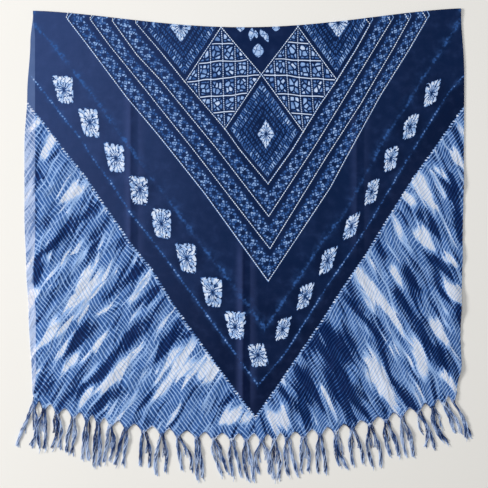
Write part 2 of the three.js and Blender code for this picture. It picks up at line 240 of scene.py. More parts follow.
# For each point: how far in among an arm's lines it lies, its place along the arm counted in lozenges,
# and that place in millimetres
def armFields(lines, way, px, py):
    down = mirroredDown(px, py)
    flip = 1 if way[0] > 0 else -1
    at = np.stack([crossing(line, down) * flip for line in lines])
    x = px * flip
    level = np.full_like(px, np.nan)
    for k in range(len(lines) - 1):
        inside = (x >= at[k]) & (x < at[k + 1])
        level = np.where(inside, k + (x - at[k]) / (at[k + 1] - at[k]), level)
    square = abs(way[1])
    outer = (x - at[0]) * square * clothUnit / beyondStep
    level = np.where(x < at[0], outer, level)
    inner = len(lines) - 1 + (x - at[-1]) * square * clothUnit / beyondStep
    level = np.where(x >= at[-1], inner, level)
    along = px * way[0] + down * way[1]
    stops = [p[0] * way[0] + p[1] * way[1] for p in lines[2]]
    count = np.interp(along, stops, range(len(stops)))
    count = np.where(along < stops[0], (along - stops[0]) / lozengeStep, count)
    count = np.where(along > stops[-1], len(stops) - 1 + (along - stops[-1]) / lozengeStep, count)
    return np.stack([level, count, along * clothUnit], axis=-1)


# Each flame bends a little with the cloth and is broader at its upper end
def flameField(px, py):
    tone = np.zeros_like(px)
    px, py = (px + 2.6 * np.sin(py / 20 + px / 57) + 1.1 * np.sin(py / 8.5 - px / 13),
              py + 2.2 * np.sin(px / 18 - py / 46))
    for across, down, length, width, strength, lean in flames:
        angle = math.radians(lean)
        wayX, wayY = -math.sin(angle), math.cos(angle)
        dx, dy = px - across, py - down
        share = (dx * wayX + dy * wayY) / (length / 2)
        off = dx * wayY - dy * wayX
        half = width / 2 * np.clip(1.05 - 0.55 * share, 0.25, 1.5)
        tone += strength * np.exp(-np.abs(share) ** 3.2) * np.exp(-np.abs(off / half) ** 2.8)
    return np.clip(tone, -1.2, 1.2)


def addVectors(mesh, name, rows):
    layer = mesh.attributes.new(name, "FLOAT_VECTOR", "POINT")
    layer.data.foreach_set("vector", np.asarray(rows, dtype=np.float32).ravel())


def paintPattern(mesh, px, py):
    addVectors(mesh, "armLeft", armFields(leftLines, armWay["left"], px, py))
    addVectors(mesh, "armRight", armFields(rightLines, armWay["right"], px, py))
    x, y = fromUnits(px, py)
    addVectors(mesh, "place", np.stack([x, y, flameField(px, py)], axis=-1))


# Pieces made as closed meshes
def addPiece(name, vertices, faces, material):
    mesh = bpy.data.meshes.new(name)
    mesh.from_pydata(np.asarray(vertices) * 0.001, [], faces)
    mesh.validate()
    mesh.shade_smooth()
    mesh.set_sharp_from_angle(angle=math.radians(50))
    piece = bpy.data.objects.new(name, mesh)
    bpy.context.scene.collection.objects.link(piece)
    if material:
        mesh.materials.append(material)
    return piece


# A closed thin wall from two grids of points, outer and inner, with rows going down and columns across
def wallFaces(rows, columns):
    step = columns + 1
    layer = (rows + 1) * step
    r, c = np.meshgrid(np.arange(rows), np.arange(columns), indexing="ij")
    a = (r * step + c).ravel()
    outer = np.stack([a, a + step, a + step + 1, a + 1], axis=1)
    inner = outer[:, ::-1] + layer
    c = np.arange(columns)
    top = np.stack([c, c + 1, c + 1 + layer, c + layer], axis=1)
    base = rows * step
    bottom = np.stack([base + c + 1, base + c, base + c + layer, base + c + 1 + layer], axis=1)
    r = np.arange(rows) * step
    left = np.stack([r + step, r, r + layer, r + step + layer], axis=1)
    r = r + columns
    right = np.stack([r, r + step, r + step + layer, r + layer], axis=1)
    return np.concatenate([outer, inner, top, bottom, left, right]).tolist()


# The hem runs from arch to arch down to each knot, by these turns, on a line between a round and a point
tabTurns = [0, 30, 60, 90, 90, 90, 60, 30]
archPoint = 0.65


def hemRows(knots, leftX, rightX, inset):
    middle = len(tabTurns) // 2
    arches = [leftX, *[(a + b) / 2 for a, b in zip(knots[:-1], knots[1:])], rightX]
    topX, lowX, drop = [], [], []
    for i, knot in enumerate(knots):
        for j, turn in enumerate(tabTurns):
            side = arches[i] if j <= middle else arches[i + 1]
            reach = mix(math.sin(math.radians(turn)), turn / 90, archPoint)
            edge = knot + hem["neckHalf"] * np.sign(j - middle)
            topX.append(mix(arches[i], arches[i + 1], j / len(tabTurns)))
            lowX.append(mix(side, edge, reach))
            drop.append(mix(1 - math.cos(math.radians(turn)), turn / 90, archPoint))
    topX.append(arches[-1])
    lowX.append(arches[-1])
    drop.append(0)
    topX, lowX, drop = map(np.array, (topX, lowX, drop))
    stripTop = hemLine(topX) + inset + hem["tabDeep"] + hem["stripDeep"]
    lowY = hemLine(lowX) + inset + hem["tabDeep"] * (1 - drop)
    return topX, stripTop, lowX, lowY


# Tassels from left to right: place of the knot, lean, spread and reach
upperTassels = [
    (-450, -22, 27, 80), (-430, -6, 10, 80), (-402, -4, 17, 71), (-368, -9, 12, 73), (-340, 0, 14, 82),
    (-316, -4, 9, 85), (-290, -8, 12, 74), (-257, -17, 16, 71), (-221, 4, 20, 73), (-183, -2, 19, 79),
    (-150, 20, 18, 71), (-110, 8, 10, 82), (-75, 25, 11, 70), (-37, 12, 19, 76), (-6, 10, 10, 79),
    (26, 5, 22, 66), (53, 5, 10, 78), (79, 14, 18, 76), (114, 3, 15, 69), (149, 4, 13, 75), (181, 17, 14, 71),
    (216, 14, 21, 73), (253, 15, 17, 80), (287, 19, 17, 72), (319, 19, 17, 78), (354, 26, 17, 70),
    (384, 27, 11, 69), (408, 32, 10, 62), (428, 33, 9, 74),
]
under = {"count": 28, "leanShare": 0.6, "apartShare": 0.65, "reachShare": 0.8, "rows": 90, "tabRows": 4,
         "foldGap": 0.3}


def upperCloth(material):
    knots = [row[0] for row in upperTassels]
    topX, stripTop, lowX, lowY = hemRows(knots, float(edgeAt(upperLeft, 1)), float(edgeAt(upperRight, 1)), 0)
    columns = len(topX) - 1
    acrossHem = (topX - topX[0]) / (topX[-1] - topX[0])
    even = np.arange(columns + 1) / columns
    outer, inner, units = [], [], []
    radius = fold["rollHigh"] / 2
    for k in range(cloth["turnRows"]):
        angle = mix(-math.pi / 2, math.pi / 2, k / cloth["turnRows"])
        x = mix(fold["leftX"], fold["rightX"], even)
        centre = foldLine(x) - radius
        for rows, r in ((outer, radius), (inner, radius - cloth["shell"])):
            high = np.full_like(x, radius + r * math.sin(angle))
            rows.append(np.stack([x, centre + r * math.cos(angle), high], 1))
        px, py = toUnits(x, centre)
        units.append(np.stack([px, py - radius * (math.pi / 2 - angle) / clothUnit], 1))
    for k in range(cloth["rows"] + 1):
        down = k / cloth["rows"]
        across = mix(even, acrossHem, easeIn(down, 0.5, 1.0))
        x = mix(edgeAt(upperLeft, down), edgeAt(upperRight, down), across)
        top = foldLine(x) - radius
        y = mix(top, hemLine(x) + hem["tabDeep"] + hem["stripDeep"], down)
        outer.append(surface(x, y, knots))
        units.append(np.stack(toUnits(x, y), 1))
    for k in range(1, cloth["tabRows"] + 1):
        t = k / cloth["tabRows"]
        x = mix(outer[cloth["turnRows"] + cloth["rows"]][:, 0], lowX, easeIn(t, -0.2, 1.05) if t < 1 else 1)
        y = mix(stripTop, lowY, t)
        outer.append(surface(x, y, knots))
        units.append(np.stack(toUnits(x, y), 1))
    for row in outer[cloth["turnRows"]:]:
        inner.append(row - np.array([0, 0, cloth["shell"]]))
    vertices = np.concatenate([np.concatenate(outer), np.concatenate(inner)])
    piece = addPiece("shawl_upper", vertices, wallFaces(len(outer) - 1, columns), material)
    flat = np.concatenate(units)
    paintPattern(piece.data, np.tile(flat[:, 0], 2), np.tile(flat[:, 1], 2))
    return piece, outer[-1]


pleats = seed.uniform(0.5, 1.5, 64)
gathers = {"reach": 26, "ridge": 0.9, "ridgeHalf": 6, "dip": 0.5, "dipHalf": 4, "dipAt": 9}


# The visible face, gathered in small pleats towards the knots
def surface(x, y, knots):
    z = upperLow(x, y) + cloth["wall"]
    near = np.argmin(np.abs(x[:, None] - np.array(knots)[None, :]), axis=1)
    off = x - np.array(knots)[near]
    above = np.maximum(y - hemLine(x), 0)
    gather = np.exp(-above / gathers["reach"]) * pleats[near]
    ridge = gathers["ridge"] * np.exp(-(off / gathers["ridgeHalf"]) ** 2)
    dip = gathers["dip"] * np.exp(-((np.abs(off) - gathers["dipAt"]) / gathers["dipHalf"]) ** 2)
    z = z + gather * (ridge - dip)
    return np.stack([x, y, z], 1)


def underCloth(material):
    left, right = float(edgeAt(underLeft, 1)), float(edgeAt(underRight, 1))
    knots = [row[0] for row in upperTassels[:under["count"]]]
    topX, stripTop, lowX, lowY = hemRows(knots, left, right, hem["underInset"])
    columns = len(topX) - 1
    even = (topX - topX[0]) / (topX[-1] - topX[0])
    rows = under["rows"]
    outer, inner = [], []
    for k in range(rows + 1):
        down = k / rows
        x = mix(edgeAt(underLeft, down), edgeAt(underRight, down), even)
        top = foldLine(x) - fold["rollHigh"] / 2 - under["foldGap"]
        y = mix(top, hemLine(x) + hem["underInset"] + hem["tabDeep"] + hem["stripDeep"], down)
        outer.append(np.stack([x, y, np.full_like(x, cloth["wall"])], 1))
    for k in range(1, under["tabRows"] + 1):
        t = k / under["tabRows"]
        x, y = mix(outer[rows][:, 0], lowX, t), mix(stripTop, lowY, t)
        outer.append(np.stack([x, y, np.full_like(x, cloth["wall"])], 1))
    for row in outer:
        inner.append(row * np.array([1, 1, 0]))
    vertices = np.concatenate([np.concatenate(outer), np.concatenate(inner)])
    piece = addPiece("shawl_under", vertices, wallFaces(len(outer) - 1, columns), material)
    px, py = toUnits(vertices[:, 0], vertices[:, 1])
    paintPattern(piece.data, px, py)
    return piece, knots


# Helpers for node trees
def feed(tree, slot, value):
    if isinstance(value, Flow):
        tree.links.new(value.socket, slot)
    else:
        slot.default_value = value


# A number on its way through a node tree: each sum, product or the like adds one Math node
class Flow:
    def __init__(self, tree, socket):
        self.tree = tree
        self.socket = socket

    def math(self, kind, *others):
        node = self.tree.nodes.new("ShaderNodeMath")
        node.operation = kind
        for slot, value in zip(node.inputs, (self, *others)):
            feed(self.tree, slot, value)
        return Flow(self.tree, node.outputs[0])

    def __add__(self, other):
        return self.math("ADD", other)

    def __sub__(self, other):
        return self.math("SUBTRACT", other)

    def __mul__(self, other):
        return self.math("MULTIPLY", other)

    def __truediv__(self, other):
        return self.math("DIVIDE", other)

    def __neg__(self):
        return self * -1.0

    def __rsub__(self, other):
        return -self + other

    __radd__ = __add__
    __rmul__ = __mul__

    def rise(self, low, high):
        node = self.tree.nodes.new("ShaderNodeMapRange")
        node.interpolation_type = "SMOOTHSTEP"
        for slot, value in zip(node.inputs[:3], (self, low, high)):
            feed(self.tree, slot, value)
        return Flow(self.tree, node.outputs[0])

    def fall(self, low, high):
        return 1.0 - self.rise(low, high)

    def size(self):
        return self.math("ABSOLUTE")

    def part(self):
        return self.math("FRACT")

    def whole(self):
        return self.math("FLOOR")

    def under(self, other):
        return self.math("LESS_THAN", other)

    def over(self, other):
        return self.math("GREATER_THAN", other)

    def least(self, other):
        return self.math("MINIMUM", other)

    def most(self, other):
        return self.math("MAXIMUM", other)

    def scaled(self, factor):
        node = self.tree.nodes.new("ShaderNodeVectorMath")
        node.operation = "SCALE"
        self.tree.links.new(self.socket, node.inputs[0])
        node.inputs["Scale"].default_value = factor
        return Flow(self.tree, node.outputs[0])

    # a wave from 0 to 1, at its crest where this number is a whole multiple of the period
    def wave(self, period):
        return (self * (2 * math.pi / period)).math("COSINE") * 0.5 + 0.5


def vector(tree, x, y, z=0.0):
    node = tree.nodes.new("ShaderNodeCombineXYZ")
    for slot, value in zip(node.inputs, (x, y, z)):
        feed(tree, slot, value)
    return Flow(tree, node.outputs[0])


def attribute(tree, name):
    node = tree.nodes.new("ShaderNodeAttribute")
    node.attribute_name = name
    split = tree.nodes.new("ShaderNodeSeparateXYZ")
    tree.links.new(node.outputs["Vector"], split.inputs[0])
    return [Flow(tree, socket) for socket in split.outputs]


def noise(tree, place, detail=2.0, rough=0.5):
    node = tree.nodes.new("ShaderNodeTexNoise")
    feed(tree, node.inputs["Vector"], place)
    node.inputs["Scale"].default_value = 1.0
    node.inputs["Detail"].default_value = detail
    node.inputs["Roughness"].default_value = rough
    return Flow(tree, node.outputs[0])


def scatter(tree, place):
    node = tree.nodes.new("ShaderNodeTexWhiteNoise")
    feed(tree, node.inputs["Vector"], place)
    return Flow(tree, node.outputs[0])


def cells(tree, place, feature, loose=1.0, output="Distance", kind="3D"):
    node = tree.nodes.new("ShaderNodeTexVoronoi")
    node.voronoi_dimensions = kind
    node.feature = feature
    feed(tree, node.inputs["Vector"], place)
    node.inputs["Scale"].default_value = 1.0
    node.inputs["Randomness"].default_value = loose
    return Flow(tree, node.outputs[output])


def tint(tree, base, over, amount):
    node = tree.nodes.new("ShaderNodeMix")
    node.data_type = "RGBA"
    feed(tree, node.inputs[0], amount)
    for slot, value in ((node.inputs[6], base), (node.inputs[7], over)):
        if isinstance(value, Flow):
            tree.links.new(value.socket, slot)
        else:
            slot.default_value = value
    return Flow(tree, node.outputs[2])


# A colour as a screen shows it, from 0 to 255, turned into the linear one that Blender takes
def srgb(*colour):
    shares = [value / 255 for value in colour]
    return (*[s / 12.92 if s <= 0.04045 else ((s + 0.055) / 1.055) ** 2.4 for s in shares], 1.0)


def newMaterial(name):
    material = bpy.data.materials.new(name)
    material.use_nodes = True
    tree = material.node_tree
    shader = tree.nodes["Principled BSDF"]
    return material, tree, shader


def addBump(tree, shader, height, strength, distance):
    node = tree.nodes.new("ShaderNodeBump")
    node.inputs["Strength"].default_value = strength
    node.inputs["Distance"].default_value = distance
    feed(tree, node.inputs["Height"], height)
    tree.links.new(node.outputs[0], shader.inputs["Normal"])


# The dyed cloth. Each motif has a function that says how bare of dye a point is, from 0 to 1
# The pale worn ground is also painted light beside the creases, and the thread colour is also painted shade
# there
rightSide = {
    "groundLeft": srgb(49, 68, 114), "groundRight": srgb(15, 33, 68), "groundWornAndLit": srgb(70, 84, 134),
    "groundRich": srgb(5, 25, 68), "groundLow": srgb(8, 20, 48), "fieldDeep": srgb(4, 26, 72),
    "blue": srgb(52, 92, 156), "pale": srgb(148, 182, 230), "white": srgb(226, 236, 252),
    "whiteField": srgb(219, 225, 238), "thread": srgb(10, 20, 54), "boundTone": -0.12, "lowFade": 0.0,
}
wrongSide = {
    "groundLeft": srgb(80, 102, 148), "groundRight": srgb(60, 80, 130), "groundWornAndLit": srgb(110, 128, 168),
    "groundRich": srgb(80, 104, 156), "groundLow": srgb(60, 80, 130), "fieldDeep": srgb(44, 72, 128),
    "blue": srgb(98, 126, 176), "pale": srgb(178, 196, 230), "white": srgb(228, 229, 240),
    "whiteField": srgb(228, 229, 240), "thread": srgb(80, 90, 130), "boundTone": -0.2, "lowFade": 0.36,
}
# Levels of the V: its dotted lines, its lozenges, its bands of ring dots and its innermost line
levels = {"outerDots": 1.0, "lozenges": 2.0, "innerDots": 3.0, "bands": 4.0, "inner": 7.0}
# Creases of an earlier folding, partly wear and partly painted light and shade: a lighter band on the left of
# each, a darker one on its right and a faint lighter one beyond. Across, highest, lowest, strength
creaseWearAndShading = [(-13, -60, -390, 0.36), (-248, 262, -75, 0.3), (226, 230, -60, 0.16)]
# Layers of noise drawn out along the flames: scales across and along them, change on the left arm, salt
streaks = {"drift": (0.016, 0.009, 0.0, 2.0), "broad": (0.044, 0.012, 9.0, 0.0),
           "shards": (0.07, 0.011, 9.0, 0.0), "slivers": (0.13, 0.017, 5.0, 0.0),
           "fine": (0.3, 0.022, 3.0, 0.0), "crush": (0.034, 0.013, 3.0, 5.0)}
field = {"leftSlope": 0.36, "rightSlope": 0.58, "drift": 16.0, "bend": 26.0, "flame": 1.55, "broad": 0.46,
         "shards": 0.44, "fine": 0.24, "paleSliver": 0.42, "darkSliver": 0.32, "pleatApart": 6.3,
         "leftPleats": 0.92, "rightPleats": 1.03, "dashApart": 6.7, "dashOut": 1.6}


# Noise around nought, the same all over the cloth
def unevenness(tree, u, v, scale, salt, detail=2.0):
    return noise(tree, vector(tree, u * scale, v * scale, salt), detail) - 0.5


def brightest(parts):
    shown, *others = parts
    for part in others:
        shown = shown.most(part)
    return shown


# Where a point lies. Its level counts the lines of the nearer arm inwards, and its count that arm's lozenges
class Place:
    def __init__(self, tree):
        self.tree = tree
        self.u, self.v, self.flame = attribute(tree, "place")
        self.leftLevel, leftCount, leftAlong = attribute(tree, "armLeft")
        self.rightLevel, rightCount, rightAlong = attribute(tree, "armRight")
        self.onLeft = self.leftLevel.under(self.rightLevel)
        self.level = self.leftLevel.least(self.rightLevel)
        self.count = self.pick(leftCount, rightCount)
        self.along = self.pick(leftAlong, rightAlong)
        self.sway = self.uneven(0.02, 0.0, 1.0)
        self.tremble = self.uneven(0.12, 4.0, 1.0)
        self.cloud = self.uneven(0.008, 9.0, 3.0)
        self.mottle = self.uneven(0.05, 11.0, 3.0)
        self.spots = self.uneven(0.11, 8.0) + 0.5
        self.patchy = self.uneven(0.09, 6.0, 1.0) + 0.5
        self.out = self.level * -beyondStep
        self.outside = self.out.rise(0.2, 1.4)
        self.cross = self.along - self.out * self.pick(field["leftSlope"], field["rightSlope"])
        self.drift = noise(tree, self.drawnOut("drift"), 1.0) - 0.5
        bend = noise(tree, vector(tree, self.along * 0.009, self.out * 0.011, self.onLeft * 4.0), 1.0) - 0.5
        self.cross = self.cross + self.drift * field["drift"] + bend * field["bend"]

    # one value for the left arm of the V, another for the right one
    def pick(self, left, right):
        return self.onLeft * (left - right) + right

    def uneven(self, scale, salt, detail=2.0):
        return unevenness(self.tree, self.u, self.v, scale, salt, detail)

    def drawnOut(self, layer):
        across, out, arm, salt = streaks[layer]
        return vector(self.tree, self.cross * across, self.out * out, self.onLeft * arm + salt)


# The bound and pleated cloth outside the V, and the lines of its pleats
def boundField(at, look):
    tree = at.tree
    broad = noise(tree, at.drawnOut("broad"), 2.0, 0.45).rise(0.34, 0.66) - 0.5
    shards = cells(tree, at.drawnOut("shards"), "F1", output="Color").rise(0.22, 0.78) - 0.5
    slivers = cells(tree, at.drawnOut("slivers"), "F1", output="Color").rise(0.2, 0.8)
    slivers = slivers.rise(0.66, 0.96) * field["paleSliver"] - slivers.fall(0.06, 0.3) * field["darkSliver"]
    fine = noise(tree, at.drawnOut("fine"), 2.0).rise(0.28, 0.72) - 0.5
    # The flames bring in the dye's tone and, in some dark ones, painted shade of wrinkles
    tone = at.flame * field["flame"] + broad * field["broad"] + shards * field["shards"] + slivers
    tone = tone + fine * field["fine"] + look["boundTone"]
    fade = at.v.fall(100.0, 240.0) * look["lowFade"]
    bound = tone.rise(-0.8, -0.04) * 0.37 + tone.rise(0.06, 0.86) * 0.59
    bound = (bound + fine * 0.14 + fade).least(1.0)
    pleat = at.out + at.tremble * 1.2 + at.sway * 14.0 + at.drift * 12.0
    pleat = pleat * at.pick(field["leftPleats"], field["rightPleats"])
    pleatLine = pleat.wave(field["pleatApart"]).rise(0.64, 0.96)
    pleatTone = tone.rise(-1.15, -0.2) * 0.46 + 0.28
    shows = noise(tree, vector(tree, at.along * 0.03, at.out * 0.05, 7.0), 1.0).rise(0.3, 0.6) * 0.35 + 0.65
    shows = shows * (1.0 - tone.fall(-1.5, -0.6) * 0.4 - tone.rise(0.6, 1.2) * 0.1)
    bound = bound + (pleatTone - bound) * pleatLine * shows
    dashes = (at.along + at.out * 0.5 + at.tremble * 6.0).wave(field["dashApart"]).rise(0.3, 0.75)
    edge = (at.out - field["dashOut"] + at.tremble * 4.0).size().fall(1.6, 4.2)
    return (bound * at.outside).most(edge * dashes * (at.tremble * 2.0 + 0.72)), pleatLine


# Dotted lines on either side of the lozenges: a sharp line of dots in a faint glow
outerGap = 36.0  # between the outer lines of the V
dotRows = [
    {"level": levels["outerDots"], "gap": outerGap, "wobble": 5.0, "sharp": (0.8, 2.8), "dots": 0.7,
     "spots": (0.32, 0.56), "glow": (1.0, 12.0), "glowTone": 0.3, "tone": 0.2, "more": 0.38},
    {"level": levels["innerDots"], "gap": 40.0, "wobble": 9.0, "sharp": (0.5, 4.6), "dots": 0.4,
     "spots": (0.3, 0.62), "glow": (2.0, 16.0), "glowTone": 0.55, "tone": 0.08, "more": 0.2},
]
dotsApart = 7.0


def dottedLines(at):
    dots = (at.along + at.tremble * 5.0).wave(dotsApart).rise(0.2, 0.8)
    strength = noise(at.tree, vector(at.tree, at.along * 0.035, at.level * 0.8, 3.0), 1.0).rise(0.32, 0.7)
    lines = []
    for row in dotRows:
        away = ((at.level - row["level"]) * row["gap"] + at.tremble * row["wobble"]).size()
        dotted = dots * row["dots"] + (1.0 - row["dots"])
        shown = away.fall(*row["sharp"]) * dotted * at.spots.rise(*row["spots"])
        shown = shown + away.fall(*row["glow"]) * at.spots * row["glowTone"]
        lines.append(shown * (strength * row["more"] + row["tone"]))
    return brightest(lines)


# Lozenges of the two arms and of the V's tip. Ways run down the arm, and sizes are in millimetres
lozenges = {
    "left": {"wayX": 0.62, "wayY": -0.785, "apart": 87.0, "shift": -0.16, "slant": -0.12, "wide": 18.5,
             "high": 28.5, "taper": 0.1, "spokes": 13, "salt": 1.0},
    "right": {"wayX": -0.53, "wayY": -0.85, "apart": 83.0, "shift": 0.1, "slant": 0.3, "wide": 15.4,
              "high": 25.5, "taper": 0.04, "spokes": 13, "salt": 2.0},
    "tip": {"centre": (258, 355), "shift": -0.2, "slant": 0.12, "wide": 18.5, "high": 24.5, "taper": 0.0,
            "spokes": 14, "salt": 3.0},
}
# Pointed lozenges in the middles of diamonds: centre in cloth units, half sizes, spokes and salt
kites = [
    {"centre": (266, 134.3), "wide": 18.5, "high": 32.0, "spokes": 13, "salt": 5.0},
    {"centre": (181, 27), "wide": 24.0, "high": 34.0, "spokes": 16, "salt": 6.0},
    {"centre": (338, 23), "wide": 24.0, "high": 34.0, "spokes": 16, "salt": 7.0},
]


# Distance from the nearest of the dark cracks that run out from a lozenge's middle
def crackGap(turn, reach, shape):
    spokeWide = 2 * math.pi / shape["spokes"] * shape["wide"]
    return (0.5 - (turn.part() - 0.5).size()) * reach * spokeWide


def lozenge(tree, u, v, shape, each=0.0):
    x = u - v * shape["shift"]
    y = v - u * shape["slant"]
    wide = v * shape["taper"] + shape["wide"]
    side, rise = x / wide, y / shape["high"]
    side, rise = (side * side).math("POWER", 3.5), (rise * rise).math("POWER", 3.5)
    reach = (side + rise).math("POWER", 1 / 7)
    ragged = unevenness(tree, u, v, 0.22, each * 1.7 + shape["salt"])
    bend = unevenness(tree, u, v, 0.07, each * 2.3 + shape["salt"])
    angle = (y * (1 / shape["high"])).math("ARCTAN2", x / wide)
    gap = crackGap(angle * (shape["spokes"] / (2 * math.pi)) + ragged * 0.9 + bend * 2.8, reach, shape)
    petals = gap.rise(0.1, 1.05)
    fromRing = (reach + ragged * 0.7 + bend * 0.9 - 0.58).size()
    split = 1.0 - fromRing.fall(0.01, 0.08) * ragged.rise(-0.05, 0.12)
    scallop = (1.0 - gap.rise(0.2, 2.4)) * 0.2
    inside = (reach + ragged * 0.2 + scallop).fall(0.94, 1.05)
    heart = (reach + bend * 0.4).rise(0.0, 0.1)
    return inside * (petals * 0.9 + 0.1) * split * (heart * 0.8 + 0.2) * (bend * 0.7 + ragged * 0.9 + 0.84)


def kite(tree, u, v, shape):
    ragged = unevenness(tree, u, v, 0.2, shape["salt"])
    reach = u.size() / shape["wide"] + v.size() / shape["high"]
    angle = (v * (1 / shape["high"])).math("ARCTAN2", u * (1 / shape["wide"]))
    gap = crackGap(angle * (shape["spokes"] / (2 * math.pi)) + ragged * 1.6, reach, shape)
    petals = gap.rise(0.2, 1.25) * 0.92 + 0.08
    scallop = (1.0 - gap.rise(0.2, 2.0)) * 0.16
    return (reach + ragged * 0.25 + scallop).fall(0.9, 1.02) * petals * (ragged * 0.9 + 0.82)


# The white of all lozenges, and the deeper blue around those of the arms
def lozengeRow(at):
    left, right, tip = lozenges["left"], lozenges["right"], lozenges["tip"]
    nearest = (at.count + 0.5).whole()
    along = (at.count - nearest) * at.pick(left["apart"], right["apart"])
    fromRow = at.level - levels["lozenges"]
    across = fromRow * outerGap
    x = along * at.pick(left["wayX"], right["wayX"]) + across * at.pick(-left["wayY"], right["wayY"])
    y = along * at.pick(left["wayY"], right["wayY"]) + across * at.pick(left["wayX"], -right["wayX"])
    kept = at.count.over(-0.5) * at.count.under(7.5) * fromRow.size().under(0.95)
    white = at.pick(lozenge(at.tree, x, y, left, nearest), lozenge(at.tree, x, y, right, nearest)) * kept
    tipX, tipY = fromUnits(*tip["centre"])
    white = white.most(lozenge(at.tree, at.u - tipX, at.v - tipY, tip))
    knotGap = (along * along + across * across).math("SQRT") + at.tremble * 14.0
    return white, knotGap.fall(20.0, 46.0) * kept


def kitesInside(at, lattice):
    shown = []
    for shape in kites:
        x, y = fromUnits(*shape["centre"])
        shown.append(kite(at.tree, at.u - x, at.v - y, shape))
    return brightest(shown) * lattice.inside


# Chains of small rings in the three bands. Single dots between rings: distance out, softness, tone
chain = {"bandWide": 37.0, "middle": 0.41, "apart": 20.5, "ring": 7.6, "dots": 8, "wobble": 6.0}
singleDots = [(10.0, (1.6, 6.0), 0.5), (3.0, (1.2, 5.0), 0.62)]


def ringChains(at):
    tree = at.tree
    inBand = at.level.over(levels["bands"]) * at.level.under(levels["inner"])
    x = (at.level.part() - chain["middle"]) * chain["bandWide"] + at.tremble * chain["wobble"]
    row = (at.along + at.tremble * 7.0 + at.level.whole() * 7.0) / chain["apart"]
    y = (row.part() - 0.5) * chain["apart"]
    radius = (x * x + y * y).math("SQRT")
    petal = x.math("ARCTAN2", y) * (chain["dots"] / (2 * math.pi)) + 0.5
    rings = (radius - chain["ring"]).size().fall(1.3, 2.7) * (petal.part() - 0.5).size().fall(0.24, 0.38)
    own = scatter(tree, vector(tree, row.whole(), petal.whole(), at.level.whole())) * 0.5 + 0.3
    between = y.size() - chain["apart"] / 2
    dots = [rings * own]
    for out, soft, tone in singleDots:
        away = x.size() - out
        dots.append((away * away + between * between).fall(*soft) * tone)
    glow = (x / 13.0).size().fall(0.6, 1.15) * (radius.rise(2.0, 6.5) * 0.07 + 0.03)
    return (brightest(dots) * (at.spots * 0.9 + 0.42)).most(glow) * inBand


# The lattice of diamonds inside the innermost line of the V, with the small grid's rows and columns
lattices = {"cellWide": 67.0 * clothUnit, "row": 0.335, "column": 0.32, "rowWide": 17.0 * clothUnit,
            "columnWide": 12.2 * clothUnit}


class Lattice:
    def __init__(self, at):
        self.a = at.leftLevel - levels["inner"]
        self.b = at.rightLevel - levels["inner"]
        self.cellA, self.cellB = self.a.whole(), self.b.whole()
        self.apart = (self.cellA - self.cellB).size()
        self.inside = at.level.over(levels["inner"])
        self.high = self.a + self.b + at.sway * 0.1
        side = self.b - self.a + at.tremble * 0.02
        self.rowAt = (self.high - 2.0) / lattices["row"] + 0.5
        self.columnAt = (side.size() - 1.0) / lattices["column"] + 0.5
        lumpX = self.columnAt * 2.6 + at.tremble * 0.3 + side.over(0.0) * 9.0
        self.lumpAt = vector(at.tree, lumpX, self.rowAt * 3.3 + at.sway)
        self.lump = cells(at.tree, self.lumpAt, "DISTANCE_TO_EDGE", 0.9, "Distance", "2D")
        self.rim = (self.a.part() - 0.5).size().most((self.b.part() - 0.5).size())


# Diamonds of ruled cells, with a few small blobs in each cell
def griddedDiamonds(at, lattice):
    gridded = (lattice.apart - 1.0).size().under(0.5) * lattice.cellA.most(lattice.cellB).under(1.5)
    rowGap = (lattice.rowAt.part() - 0.5).size() * lattices["rowWide"]
    columnGap = (lattice.columnAt.part() - 0.5).size() * lattices["columnWide"]
    own = cells(at.tree, lattice.lumpAt, "F1", 0.9, "Color", "2D").rise(0.1, 0.8)
    blobs = lattice.lump.rise(0.07, 0.22) * rowGap.rise(2.8, 6.6) * columnGap.rise(2.4, 5.4)
    blobs = blobs * (own * 0.36 + at.patchy * 0.5 + 0.22)
    rowLine = (rowGap - 0.3).size().fall(0.3, 1.1) * 0.92
    columnLine = columnGap.fall(0.4, 1.5) * at.v.wave(3.9).rise(0.15, 0.6) * 0.9
    grid = brightest([blobs, rowLine, columnLine]) * lattice.rim.fall(0.468, 0.482)
    return grid * gridded * lattice.inside


# Nested rows of short bars in the other diamonds: distance from the middle, softness, tone
barRows = [(56.0, (3.6, 6.6), 0.6), (45.5, (2.2, 4.8), 0.46), (35.5, (1.6, 4.4), 0.36),
           (26.0, (1.4, 4.0), 0.32), (16.5, (1.2, 3.8), 0.22)]
bars = {"apart": 5.6, "rowStep": 10.0}


def barredDiamonds(at, lattice):
    tree = at.tree
    barred = lattice.apart.math("MODULO", 2.0).under(0.5) * (lattice.cellA + lattice.cellB).under(0.5)
    barred = barred.most(lattice.apart.over(1.5)) * lattice.inside
    fromA, fromB = lattice.a.part() - 0.5, lattice.b.part() - 0.5
    turned = fromA.size().under(fromB.size())
    out = (lattice.rim + at.tremble * 0.008) * lattices["cellWide"]
    row = (out / bars["rowStep"]).whole()
    barAt = (fromB + (fromA - fromB) * turned + at.tremble * 0.05) * lattices["cellWide"] + row * 2.0
    own = scatter(tree, vector(tree, (barAt / bars["apart"] + 0.5).whole(), row, at.onLeft)) * 0.9 + 0.35
    rows = brightest([(out - far).size().fall(*soft) * tone for far, soft, tone in barRows])
    return rows * (barAt.wave(bars["apart"]).rise(0.25, 0.7) * 0.86 + 0.14) * own * (at.spots + 0.46) * barred


# The dyed line under each row of running stitches, and around each diamond
def drawnLines(at, lattice):
    within = at.level - levels["inner"]
    away = (at.level - (at.level + 0.5).whole()).size() * chain["bandWide"] + within.most(0.0) * 104.0
    drawn = away.fall(0.2, 1.2) * at.level.over(3.5) * at.level.under(7.5)
    rims = ((0.5 - lattice.rim) * lattices["cellWide"]).fall(0.2, 1.5) * within.rise(0.02, 0.04)
    return drawn.most(rims * lattice.high.under(3.2)) * (at.tremble * 0.3 + 0.66)


